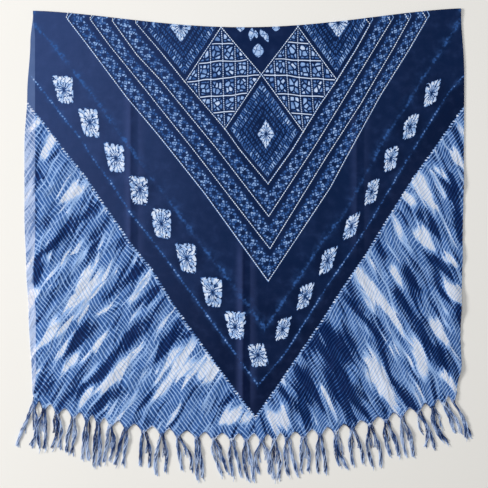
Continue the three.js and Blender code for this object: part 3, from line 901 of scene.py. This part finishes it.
# Leaves below the fold: centre in cloth units, half sizes in millimetres, lean in degrees
leaves = [((251.4, 34.5), (6.2, 14), -6), ((256, 34.5), (4.4, 9), 12), ((262, 33.5), (5.2, 10), 24),
          ((266, 37), (5.2, 13), 24), ((258.2, 50.8), (12.5, 15.5), 0), ((240.6, 28), (9, 9), 0),
          ((276, 28), (9, 8), 0)]


def leafSpray(at, lattice):
    u, v = at.u + at.tremble * 2.5, at.v + at.tremble * 2.5
    shown = []
    for centre, half, lean in leaves:
        midX, midY = fromUnits(*centre)
        c, s = math.cos(math.radians(lean)), math.sin(math.radians(lean))
        x = (u - midX) * c + (v - midY) * s
        y = (v - midY) * c - (u - midX) * s
        shown.append((x.size() / half[0] + (y / half[1]).math("POWER", 2.0)).fall(0.8, 1.05))
    return brightest(shown) * (lattice.lump.rise(0.02, 0.1) * 0.62 + 0.14) * (at.patchy * 0.5 + 0.75)


# Ground colour, uneven as on hand-dyed cloth, lighter and greyer towards the left and darker towards the
# right: washes laid over each other, with the share of each. The crease washes are partly painted light and
# shade.
def groundColour(at, look, knotShade):
    u, v, level, cloud, mottle = at.u, at.v, at.level, at.cloud, at.mottle
    towardsRight = (u + cloud * 160.0).rise(-500.0, 60.0)
    lowBand = level.rise(2.9, 3.1) * (v + cloud * 200.0).fall(-260.0, -60.0)
    margin = level.fall(0.85, 1.15) * 0.7 + lowBand * 0.6
    bands = (level.over(levels["bands"]) * 0.45).most(level.over(levels["inner"]) * 0.55)
    washes = [
        ("groundRight", towardsRight),
        ("groundLow", (v + cloud * 120.0).fall(-420.0, -90.0) * towardsRight * 0.6),
        ("groundLow", margin * (towardsRight * 0.85 + 0.15) * (mottle * 1.2 + 0.9)),
        ("fieldDeep", at.outside * 0.85),
        ("groundWornAndLit", (mottle * 1.2 + cloud * 0.8 + 0.3).rise(0.0, 1.0) * 0.3 * (1.0 - towardsRight * 0.5)),
        ("groundRich", bands * (1.0 - towardsRight * 0.6)),
        ("groundLow", knotShade * (towardsRight * 0.4 + 0.12)),
    ]
    # Painted light and shade along each crease, with some wear: the pale worn ground is painted light on its
    # left and beyond, the thread colour painted shade on its right
    for across, top, low, depth in creaseWearAndShading:
        wearAndShade = (v - low).rise(-30.0, 30.0) * (v - top).fall(-30.0, 30.0) * depth
        off = u - across + at.tremble * 2.0
        washes.append(("groundWornAndLit", off.rise(-20.0, -3.0) * off.fall(-3.0, 3.0) * wearAndShade))
        washes.append(("thread", off.rise(-3.0, 2.5) * off.fall(1.0, 20.0) * wearAndShade * 1.3))
        washes.append(("groundWornAndLit", off.rise(13.0, 18.0) * off.fall(18.0, 34.0) * wearAndShade * 0.6))
    ground = look["groundLeft"]
    for colour, share in washes:
        ground = tint(at.tree, ground, look[colour], share)
    return ground


weave = {"warp": 0.62, "weft": 0.58, "slubShort": 1.3, "slubLong": 0.05}
relief = {"threads": 0.3, "slubs": 0.35, "pleats": 0.8, "lozenges": 0.8, "crumple": 9.0, "crumpleField": 8.0,
          "crush": 7.0, "strength": 0.35, "distance": 0.0004}


def dyedCloth(name, look):
    material, tree, shader = newMaterial(name)
    at = Place(tree)
    lattice = Lattice(at)
    u, v = at.u, at.v
    bound, pleatLine = boundField(at, look)
    white, knotShade = lozengeRow(at)
    bare = brightest([bound, dottedLines(at), white, ringChains(at), griddedDiamonds(at, lattice),
                      barredDiamonds(at, lattice), drawnLines(at, lattice), kitesInside(at, lattice),
                      leafSpray(at, lattice)])
    bare = bare + at.mottle * 0.22 * (1.0 - at.outside)
    barest = tint(tree, look["white"], look["whiteField"], at.outside)
    colour = groundColour(at, look, knotShade)
    for over, start, reach in ((look["blue"], 0.0, 0.36), (look["pale"], 0.33, 0.37), (barest, 0.68, 0.3)):
        colour = tint(tree, colour, over, ((bare - start) / reach).rise(0.0, 1.0))
    warp, weft, short, long = weave["warp"], weave["weft"], weave["slubShort"], weave["slubLong"]
    threads = u.wave(warp) * v.wave(weft) + (u + warp / 2).wave(warp) * (v + weft / 2).wave(weft)
    slub = noise(tree, vector(tree, u * long, v * short, 2.0), 1.0)
    slub = slub + noise(tree, vector(tree, u * short, v * long, 5.0), 1.0)
    shade = (1.0 - slub) * 0.34 + (0.5 - threads * 0.5) * 0.05
    colour = tint(tree, colour, look["thread"], shade.most(0.0))
    tree.links.new(colour.socket, shader.inputs["Base Color"])
    tree.links.new((bare * 0.08 + 0.8).socket, shader.inputs["Roughness"])
    shader.inputs["Specular IOR Level"].default_value = 0.02
    crumple = noise(tree, vector(tree, u * 0.03, v * 0.026, 12.0), 2.0)
    crush = noise(tree, at.drawnOut("crush"), 2.0) - 0.5
    height = threads * relief["threads"] + slub * relief["slubs"] + white * relief["lozenges"]
    height = height + crumple * (at.outside * relief["crumpleField"] + relief["crumple"])
    folds = pleatLine * relief["pleats"] + crush.size().fall(0.0, 0.11) * relief["crush"]
    addBump(tree, shader, height + folds * at.outside, relief["strength"], relief["distance"])
    return material


# What repeats: stitches and yarn, each grown by Geometry Nodes
def newTree(name, inputs):
    tree = bpy.data.node_groups.new(name, "GeometryNodeTree")
    tree.interface.new_socket("Geometry", in_out="INPUT", socket_type="NodeSocketGeometry")
    sockets = {}
    for label, kind, value in inputs:
        socket = tree.interface.new_socket(label, in_out="INPUT", socket_type=kind)
        if value is not None:
            socket.default_value = value
        sockets[label] = socket
    tree.interface.new_socket("Geometry", in_out="OUTPUT", socket_type="NodeSocketGeometry")
    start = tree.nodes.new("NodeGroupInput")
    end = tree.nodes.new("NodeGroupOutput")
    return tree, start, end, sockets


def addNode(tree, kind, settings=(), **links):
    node = tree.nodes.new(kind)
    for key, value in settings:
        setattr(node, key, value)
    for key, value in links.items():
        slot = node.inputs[key.replace("_", " ")]
        if isinstance(value, bpy.types.NodeSocket):
            tree.links.new(value, slot)
        else:
            slot.default_value = value
    return node


# The lines run through a tree, as a plain mesh of its own
def grown(name, points, edges, fields, tree, sockets, values):
    mesh = bpy.data.meshes.new(name + "_lines")
    mesh.from_pydata(np.asarray(points) * 0.001, edges, [])
    for label, row in fields.items():
        layer = mesh.attributes.new(label, "FLOAT", "POINT")
        layer.data.foreach_set("value", np.asarray(row, dtype=np.float32))
    lines = bpy.data.objects.new(name + "_lines", mesh)
    bpy.context.scene.collection.objects.link(lines)
    modifier = lines.modifiers.new("grow", "NODES")
    modifier.node_group = tree
    for label, value in values.items():
        modifier[sockets[label].identifier] = value
    bpy.context.view_layer.update()
    depsgraph = bpy.context.evaluated_depsgraph_get()
    grownMesh = bpy.data.meshes.new_from_object(lines.evaluated_get(depsgraph))
    bpy.data.objects.remove(lines)
    grownMesh.name = name
    piece = bpy.data.objects.new(name, grownMesh)
    bpy.context.scene.collection.objects.link(piece)
    return piece


# Running stitches. Their rows start and end at the fold, at these places in cloth units
stitch = {"pitch": 4.8, "long": 3.7, "thick": 2.3, "lift": 0.35, "leastScale": 0.75, "mostScale": 1.15,
          "seed": 3, "lineStep": 1.6}
stitchEnds = {4: ((68.4, 13.3), (421.8, 11.8)), 5: ((92, 16.2), (405, 15)), 6: ((113, 19.5), (388, 18)),
              7: ((136, 21.5), (366.6, 20.4))}


def stitchTree():
    tree, start, end, sockets = newTree("running_stitch", [
        ("Pitch", "NodeSocketFloat", 0.005), ("Long", "NodeSocketFloat", 0.003),
        ("Thick", "NodeSocketFloat", 0.001), ("Seed", "NodeSocketInt", 3),
        ("Thread", "NodeSocketMaterial", None)])
    curve = addNode(tree, "GeometryNodeMeshToCurve", Mesh=start.outputs["Geometry"])
    evenly = addNode(tree, "GeometryNodeResampleCurve", [("mode", "LENGTH")], Curve=curve.outputs[0],
                     Length=start.outputs["Pitch"])
    bead = addNode(tree, "GeometryNodeMeshUVSphere", Segments=6, Rings=4, Radius=0.5)
    size = addNode(tree, "ShaderNodeCombineXYZ", X=start.outputs["Long"], Y=start.outputs["Thick"],
                   Z=start.outputs["Thick"])
    shaped = addNode(tree, "GeometryNodeTransform", Geometry=bead.outputs[0], Scale=size.outputs[0])
    tangent = tree.nodes.new("GeometryNodeInputTangent")
    facing = addNode(tree, "FunctionNodeAlignRotationToVector", [("axis", "X")], Vector=tangent.outputs[0])
    placed = addNode(tree, "GeometryNodeInstanceOnPoints", Points=evenly.outputs[0],
                     Instance=shaped.outputs[0], Rotation=facing.outputs[0])
    varied = addNode(tree, "FunctionNodeRandomValue", [("data_type", "FLOAT")], Seed=start.outputs["Seed"])
    varied.inputs[2].default_value = stitch["leastScale"]
    varied.inputs[3].default_value = stitch["mostScale"]
    tree.links.new(varied.outputs[1], placed.inputs["Scale"])
    real = addNode(tree, "GeometryNodeRealizeInstances", Geometry=placed.outputs[0])
    done = addNode(tree, "GeometryNodeSetMaterial", Geometry=real.outputs[0],
                   Material=start.outputs["Thread"])
    tree.links.new(done.outputs[0], end.inputs[0])
    return tree, sockets


# A strand for every twist of yarn: each line becomes several thin strands that wind and spread to its tip
def yarnTree():
    tree, start, end, sockets = newTree("yarn_ends", [
        ("Strands", "NodeSocketInt", 7), ("Yarn", "NodeSocketFloat", 0.0006),
        ("Root", "NodeSocketFloat", 0.0008), ("Tip", "NodeSocketFloat", 0.003),
        ("Twist", "NodeSocketFloat", 9.0), ("Stray", "NodeSocketFloat", 0.002),
        ("Seed", "NodeSocketInt", 5), ("Finish", "NodeSocketMaterial", None)])
    curve = addNode(tree, "GeometryNodeMeshToCurve", Mesh=start.outputs["Geometry"])
    many = addNode(tree, "GeometryNodeDuplicateElements", [("domain", "SPLINE")], Geometry=curve.outputs[0],
                   Amount=start.outputs["Strands"])
    strand = Flow(tree, many.outputs["Duplicate Index"])
    numbers = [("data_type", "FLOAT")]
    along = Flow(tree, addNode(tree, "GeometryNodeInputNamedAttribute", numbers, Name="along").outputs[0])
    cord = Flow(tree, addNode(tree, "GeometryNodeInputNamedAttribute", numbers, Name="cord").outputs[0])
    labels = ("Seed", "Twist", "Tip", "Root", "Stray", "Yarn")
    given = {label: Flow(tree, start.outputs[label]) for label in labels}
    chance = scatter(tree, vector(tree, strand, cord, given["Seed"]))
    other = scatter(tree, vector(tree, cord, strand, given["Seed"] + 7.0))
    phase = chance * 6.283 + along * given["Twist"] * (other * 0.3 + 0.85)
    spread = given["Tip"] * along.rise(0.0, 0.55) * (other * 0.9 + 0.3) + given["Root"]
    strayX = noise(tree, vector(tree, along * 4.0 + chance * 9.0, cord * 1.7, strand * 2.3), 2.0) - 0.5
    strayY = noise(tree, vector(tree, along * 4.0 + other * 9.0, cord * 2.9, strand * 3.1), 2.0) - 0.5
    stray = given["Stray"] * along.rise(0.05, 0.5) * 4.0
    shorter = other * chance * 0.014 * along.rise(0.6, 1.0)
    moveX = phase.math("COSINE") * spread + strayX * stray
    moveY = strayY * stray * 0.7 - shorter
    moveZ = phase.math("SINE") * spread * 0.4
    toned = addNode(tree, "GeometryNodeStoreNamedAttribute", [("data_type", "FLOAT"), ("domain", "POINT")],
                    Geometry=many.outputs[0], Name="shade", Value=other.socket)
    moved = addNode(tree, "GeometryNodeSetPosition", Geometry=toned.outputs[0],
                    Offset=vector(tree, moveX, moveY, moveZ).socket)
    place = tree.nodes.new("GeometryNodeInputPosition")
    split = tree.nodes.new("ShaderNodeSeparateXYZ")
    tree.links.new(place.outputs[0], split.inputs[0])
    x, y, z = [Flow(tree, socket) for socket in split.outputs]
    lowest = given["Yarn"] * 1.2
    kept = addNode(tree, "GeometryNodeSetPosition", Geometry=moved.outputs[0],
                   Position=vector(tree, x, y, z.most(lowest)).socket)
    ring = addNode(tree, "GeometryNodeCurvePrimitiveCircle", Resolution=4)
    tree.links.new(start.outputs["Yarn"], ring.inputs["Radius"])
    tube = addNode(tree, "GeometryNodeCurveToMesh", Curve=kept.outputs[0], Profile_Curve=ring.outputs[0])
    tube.inputs["Fill Caps"].default_value = True
    real = addNode(tree, "GeometryNodeRealizeInstances", Geometry=tube.outputs[0])
    done = addNode(tree, "GeometryNodeSetMaterial", Geometry=real.outputs[0],
                   Material=start.outputs["Finish"])
    tree.links.new(done.outputs[0], end.inputs[0])
    return tree, sockets


def chainEdges(counts):
    edges, base = [], 0
    for n in counts:
        edges += [(base + i, base + i + 1) for i in range(n - 1)]
        base += n
    return edges


def dense(points, step):
    points = np.array(points, dtype=float)
    gaps = np.linalg.norm(np.diff(points, axis=0), axis=1)
    at = np.concatenate([[0], np.cumsum(gaps)])
    n = max(2, int(at[-1] / step))
    where = np.linspace(0, at[-1], n)
    return np.stack([np.interp(where, at, points[:, i]) for i in range(points.shape[1])], 1)


def addStitches(material):
    lines = []
    for k, (left, right) in stitchEnds.items():
        lines.append([left, *leftLines[k], *rightLines[k][-2::-1], right])
    lines += [leftLines[8], leftLines[9][:2], rightLines[8], rightLines[9][:2]]
    points, counts = [], []
    for line in lines:
        x, y = fromUnits(*dense(line, stitch["lineStep"]).T)
        z = upperLow(x, y) + cloth["wall"] + stitch["lift"]
        points.append(np.stack([x, y, z], 1))
        counts.append(len(x))
    tree, sockets = stitchTree()
    piece = grown("running_stitches", np.concatenate(points), chainEdges(counts), {}, tree, sockets,
                  {"Pitch": stitch["pitch"] * 0.001, "Long": stitch["long"] * 0.001,
                   "Thick": stitch["thick"] * 0.001, "Seed": stitch["seed"], "Thread": material})
    piece.data.shade_smooth()
    return piece


# Sideways bows of the cords that kink most, by tassel and side
kinks = {(0, 1): 9, (1, 0): -7, (2, 0): 6, (4, 1): -5, (6, 1): 7, (9, 1): 6, (10, 1): 10, (15, 0): -8,
         (15, 1): 8, (20, 1): -6, (22, 1): 7, (25, 0): 12, (26, 1): -8, (28, 0): 8}
yarnSize = {"thick": 0.00056, "root": 0.0007, "tip": 0.0025, "twist": 7.0, "stray": 0.002, "seed": 5}
cordWay = {"steps": 16, "wave": 1.6, "fromKnot": 1.5, "leastBow": 1.0, "mostBow": 7.0, "lowest": -3,
           "highest": 4}
upperFringe = {"inset": 0, "highs": (4.2, 2.0), "strands": 13, "firstCord": 0}
underFringe = {"inset": hem["underInset"], "highs": (1.5, 1.2), "strands": 6, "firstCord": 100}


def cordPoints(x, y, tipX, tipY, highs, bow):
    t = np.linspace(0, 1, cordWay["steps"])
    wave = seed.uniform(-cordWay["wave"], cordWay["wave"])
    sway = bow * np.sin(math.pi * t) + wave * np.sin(2 * math.pi * t + seed.uniform(0, 6))
    return np.stack([mix(x, tipX, t ** 1.15) + sway * easeIn(t, 0, 0.3), mix(y, tipY, t),
                     mix(highs[0], highs[1], easeIn(t, 0.3, 0.95))], 1), t


def addFringe(name, tassels, look, material):
    points, along, cord, counts = [], [], [], []
    for i, (x, lean, apart, reach) in enumerate(tassels):
        y = float(hemLine(np.array([x]))[0]) + look["inset"]
        for side in (-1, 1):
            bow = side
            if look is upperFringe:
                drawn = side * seed.uniform(cordWay["leastBow"], cordWay["mostBow"])
                bow = kinks.get((i, (side + 1) // 2), drawn)
            tipX = x + lean + side * apart / 2
            tipY = y - reach + seed.uniform(cordWay["lowest"], cordWay["highest"])
            path, t = cordPoints(x + side * cordWay["fromKnot"], y + 1, tipX, tipY, look["highs"], bow)
            points.append(path)
            along.append(t)
            cord.append(np.full(len(t), 2 * i + side * 0.5 + 0.5 + look["firstCord"]))
            counts.append(len(t))
    tree, sockets = yarnTree()
    return grown(name, np.concatenate(points), chainEdges(counts),
                 {"along": np.concatenate(along), "cord": np.concatenate(cord)}, tree, sockets,
                 {"Strands": look["strands"], "Yarn": yarnSize["thick"], "Root": yarnSize["root"],
                  "Tip": yarnSize["tip"], "Twist": yarnSize["twist"], "Stray": yarnSize["stray"],
                  "Seed": yarnSize["seed"], "Finish": material})


# The overcast yarn that edges the hem from knot to knot, as two thin threads wound together
overcast = {"step": 2.2, "turn": 1.15, "apart": 0.6, "high": 0.45, "sink": 0.1, "thick": 0.72, "sides": 4}


def hemThread(row, vertices, faces):
    sides = overcast["sides"]
    path = dense(row, overcast["step"])
    ahead = np.gradient(path, axis=0)
    ahead /= np.linalg.norm(ahead, axis=1)[:, None]
    side = np.cross(ahead, (0, 0, 1.0))
    turn = np.cumsum(np.full(len(path), overcast["turn"]))
    for start in (0, math.pi):
        wind = turn + start
        line = path + side * (np.cos(wind) * overcast["apart"])[:, None]
        line[:, 2] += np.sin(wind) * overcast["high"] - overcast["sink"]
        base = len(vertices)
        for i, centre in enumerate(line):
            for j in range(sides):
                a = 2 * math.pi * j / sides
                p = centre + (side[i] * math.cos(a) + np.array([0, 0, math.sin(a)])) * overcast["thick"]
                vertices.append(tuple(p))
        for i in range(len(line) - 1):
            for j in range(sides):
                a, b = base + i * sides + j, base + i * sides + (j + 1) % sides
                faces.append((b, a, a + sides, b + sides))
        last = base + (len(line) - 1) * sides
        faces.append(tuple(base + j for j in range(sides)))
        faces.append(tuple(last + j for j in reversed(range(sides))))


# An overhand knot is a trefoil: a short tube wound on itself
knotTube = {"turns": 36, "sides": 6, "thick": 0.36, "twist": 0.5}
upperKnot = {"high": 4.6, "size": (2.5, 3.9, 1.5)}
underKnot = {"high": 1.5, "size": (2.8, 2.6, 1.0)}


def addKnots(name, knots, inset, look, material, row=None):
    turns = np.linspace(0, 2 * math.pi, knotTube["turns"] + 1)[:-1]
    path = np.stack([np.sin(turns) + 2 * np.sin(2 * turns), np.cos(turns) - 2 * np.cos(2 * turns),
                     -np.sin(3 * turns)], 1) / 3
    ahead = np.roll(path, -1, axis=0) - np.roll(path, 1, axis=0)
    ahead /= np.linalg.norm(ahead, axis=1)[:, None]
    side = np.cross(ahead, (0, 0, 1.0))
    side /= np.linalg.norm(side, axis=1)[:, None]
    up = np.cross(side, ahead)
    sides = knotTube["sides"]
    vertices, faces = [], []
    if row is not None:
        hemThread(row, vertices, faces)
    for x, y in zip(knots, hemLine(knots) + inset):
        turn = seed.uniform(-knotTube["twist"], knotTube["twist"])
        c, s = math.cos(turn), math.sin(turn)
        base = len(vertices)
        for i in range(len(turns)):
            for j in range(sides):
                a = 2 * math.pi * j / sides
                p = path[i] + (side[i] * math.cos(a) + up[i] * math.sin(a)) * knotTube["thick"]
                q = p * np.array(look["size"])
                vertices.append((x + q[0] * c - q[1] * s, y + q[0] * s + q[1] * c, look["high"] + q[2]))
        for i in range(len(turns)):
            for j in range(sides):
                a, b = base + i * sides + j, base + i * sides + (j + 1) % sides
                k = (i + 1) % len(turns)
                faces.append((a, b, base + k * sides + (j + 1) % sides, base + k * sides + j))
    return addPiece(name, vertices, faces, material)


# Finishes of thread, yarn and floor
def stitchThread():
    material, tree, shader = newMaterial("white_thread")
    node = tree.nodes.new("ShaderNodeTexCoord")
    grain = noise(tree, Flow(tree, node.outputs["Object"]).scaled(900.0), 3.0)
    colour = tint(tree, srgb(222, 236, 255), srgb(240, 248, 255), grain.rise(0.3, 0.6))
    tree.links.new(colour.socket, shader.inputs["Base Color"])
    shader.inputs["Roughness"].default_value = 0.8
    shader.inputs["Specular IOR Level"].default_value = 0.05
    addBump(tree, shader, grain, 0.4, 0.0002)
    return material


yarns = {
    "fringe_yarn": {"dark": srgb(16, 34, 82), "mid": srgb(68, 104, 166), "pale": srgb(188, 207, 238),
                    "lift": 0.0},
    "fringe_yarn_under": {"dark": srgb(30, 44, 90), "mid": srgb(84, 112, 168), "pale": srgb(176, 194, 224),
                          "lift": 0.0},
    "hem_yarn": {"dark": srgb(12, 24, 58), "mid": srgb(84, 112, 166), "pale": srgb(206, 218, 238),
                 "lift": 0.62},
}


# Loose warp yarn: each cord has its own blue, with paler and darker stretches
def yarnFinish(name):
    look = yarns[name]
    material, tree, shader = newMaterial(name)
    node = tree.nodes.new("ShaderNodeTexCoord")
    place = Flow(tree, node.outputs["Object"])
    cord = Flow(tree, attributeValue(tree, "cord"))
    along = Flow(tree, attributeValue(tree, "along"))
    own = scatter(tree, vector(tree, cord, 3.0, 1.0))
    strand = Flow(tree, attributeValue(tree, "shade"))
    blotch = noise(tree, place.scaled(45.0), 3.0)
    thread = noise(tree, place.scaled(520.0), 2.0)
    tone = own * 0.5 + strand * 1.05 + blotch * 2.2 + along * 0.35 - 1.62 + look["lift"]
    tone = tone.rise(0.0, 0.95)
    low = tint(tree, look["dark"], look["mid"], (tone * 2.0).least(1.0))
    full = tint(tree, low, look["pale"], (tone * 2.0 - 1.0).most(0.0))
    fuzz = tint(tree, full, look["pale"], thread.rise(0.55, 0.8) * 0.35)
    tree.links.new(fuzz.socket, shader.inputs["Base Color"])
    shader.inputs["Roughness"].default_value = 0.85
    shader.inputs["Specular IOR Level"].default_value = 0.08
    addBump(tree, shader, thread, 0.5, 0.0003)
    return material


def attributeValue(tree, name):
    node = tree.nodes.new("ShaderNodeAttribute")
    node.attribute_name = name
    return node.outputs["Fac"]


floorLook = {"half": 6, "light": srgb(240, 238, 234), "dark": srgb(234, 232, 227)}


def plainFloor():
    material, tree, shader = newMaterial("floor_plain")
    node = tree.nodes.new("ShaderNodeTexCoord")
    grain = noise(tree, Flow(tree, node.outputs["Object"]), 4.0)
    colour = tint(tree, floorLook["light"], floorLook["dark"], grain)
    tree.links.new(colour.socket, shader.inputs["Base Color"])
    shader.inputs["Roughness"].default_value = 0.9
    shader.inputs["Specular IOR Level"].default_value = 0.1
    mesh = bpy.data.meshes.new("floor")
    half = floorLook["half"]
    corners = [(-half, -half, 0), (half, -half, 0), (half, half, 0), (-half, half, 0)]
    mesh.from_pydata(corners, [], [(0, 1, 2, 3)])
    floor = bpy.data.objects.new("floor", mesh)
    bpy.context.scene.collection.objects.link(floor)
    mesh.materials.append(material)


# Camera and light
shot = {"high": 2.6, "wideUnits": 488, "sensor": 36}


def addCamera():
    x, y = fromUnits(shot["wideUnits"] / 2, shot["wideUnits"] / 2)
    data = bpy.data.cameras.new("overhead")
    data.sensor_width = shot["sensor"]
    data.lens = shot["sensor"] * shot["high"] / (shot["wideUnits"] * clothUnit * 0.001)
    camera = bpy.data.objects.new("overhead", data)
    camera.location = (x * 0.001, y * 0.001, shot["high"])
    bpy.context.scene.collection.objects.link(camera)
    bpy.context.scene.camera = camera


lamps = {
    "window": {"place": (-5.0, 0.3, 3.0), "aim": (-0.1, 0.0, 0), "wide": 2.0, "power": 310,
               "colour": (1.0, 0.985, 0.96)},
    "ceiling": {"place": (-0.2, 0.8, 3.0), "aim": (0, 0.1, 0), "wide": 2.5, "power": 33,
                "colour": (0.98, 0.99, 1.0)},
}
roomGlow = {"colour": (0.97, 0.98, 1.0, 1), "strength": 0.26}


def addLight(name, lamp):
    data = bpy.data.lights.new(name, "AREA")
    data.shape = "DISK"
    data.size = lamp["wide"]
    data.energy = lamp["power"]
    data.color = lamp["colour"]
    light = bpy.data.objects.new(name, data)
    light.location = lamp["place"]
    away = np.array(lamp["place"]) - np.array(lamp["aim"])
    tilt = math.acos(away[2] / np.linalg.norm(away))
    light.rotation_euler = (tilt, 0, math.atan2(away[1], away[0]) + math.pi / 2)
    bpy.context.scene.collection.objects.link(light)


def addRoom():
    for name, lamp in lamps.items():
        addLight(name, lamp)
    world = bpy.data.worlds.new("room")
    world.use_nodes = True
    world.node_tree.nodes["Background"].inputs[0].default_value = roomGlow["colour"]
    world.node_tree.nodes["Background"].inputs[1].default_value = roomGlow["strength"]
    bpy.context.scene.world = world
    bpy.context.scene.view_settings.view_transform = "Standard"


addCamera()
addRoom()
plainFloor()
print("camera, light and floor")

upper, hemRow = upperCloth(dyedCloth("dyed_right_side", rightSide))
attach(upper, "root")
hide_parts("cloth_upper", "fold_turn")
print("upper cloth", len(upper.data.polygons))
lower, underKnots = underCloth(dyedCloth("dyed_wrong_side", wrongSide))
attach(lower, "root")
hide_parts("cloth_under")
print("under cloth", len(lower.data.polygons))
yarn = yarnFinish("fringe_yarn")
underYarn = yarnFinish("fringe_yarn_under")
hemYarn = yarnFinish("hem_yarn")
upperKnots = np.array([row[0] for row in upperTassels], dtype=float)
tassels = addFringe("tassels_upper", upperTassels, upperFringe, yarn)
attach(tassels, "root")
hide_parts("fringe_upper")
lowTassels = [(x, lean * under["leanShare"], apart * under["apartShare"], reach * under["reachShare"])
              for x, lean, apart, reach in upperTassels[:under["count"]]]
underTassels = addFringe("tassels_under", lowTassels, underFringe, underYarn)
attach(underTassels, "root")
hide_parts("fringe_under")
knots = addKnots("knots_upper", upperKnots, 0, upperKnot, hemYarn, hemRow)
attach(knots, "root")
lowKnots = addKnots("knots_under", np.array(underKnots), hem["underInset"], underKnot, underYarn)
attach(lowKnots, "root")
print("fringes", len(tassels.data.polygons), len(underTassels.data.polygons))
stitches = addStitches(stitchThread())
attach(stitches, "root")
print("stitches", len(stitches.data.polygons))
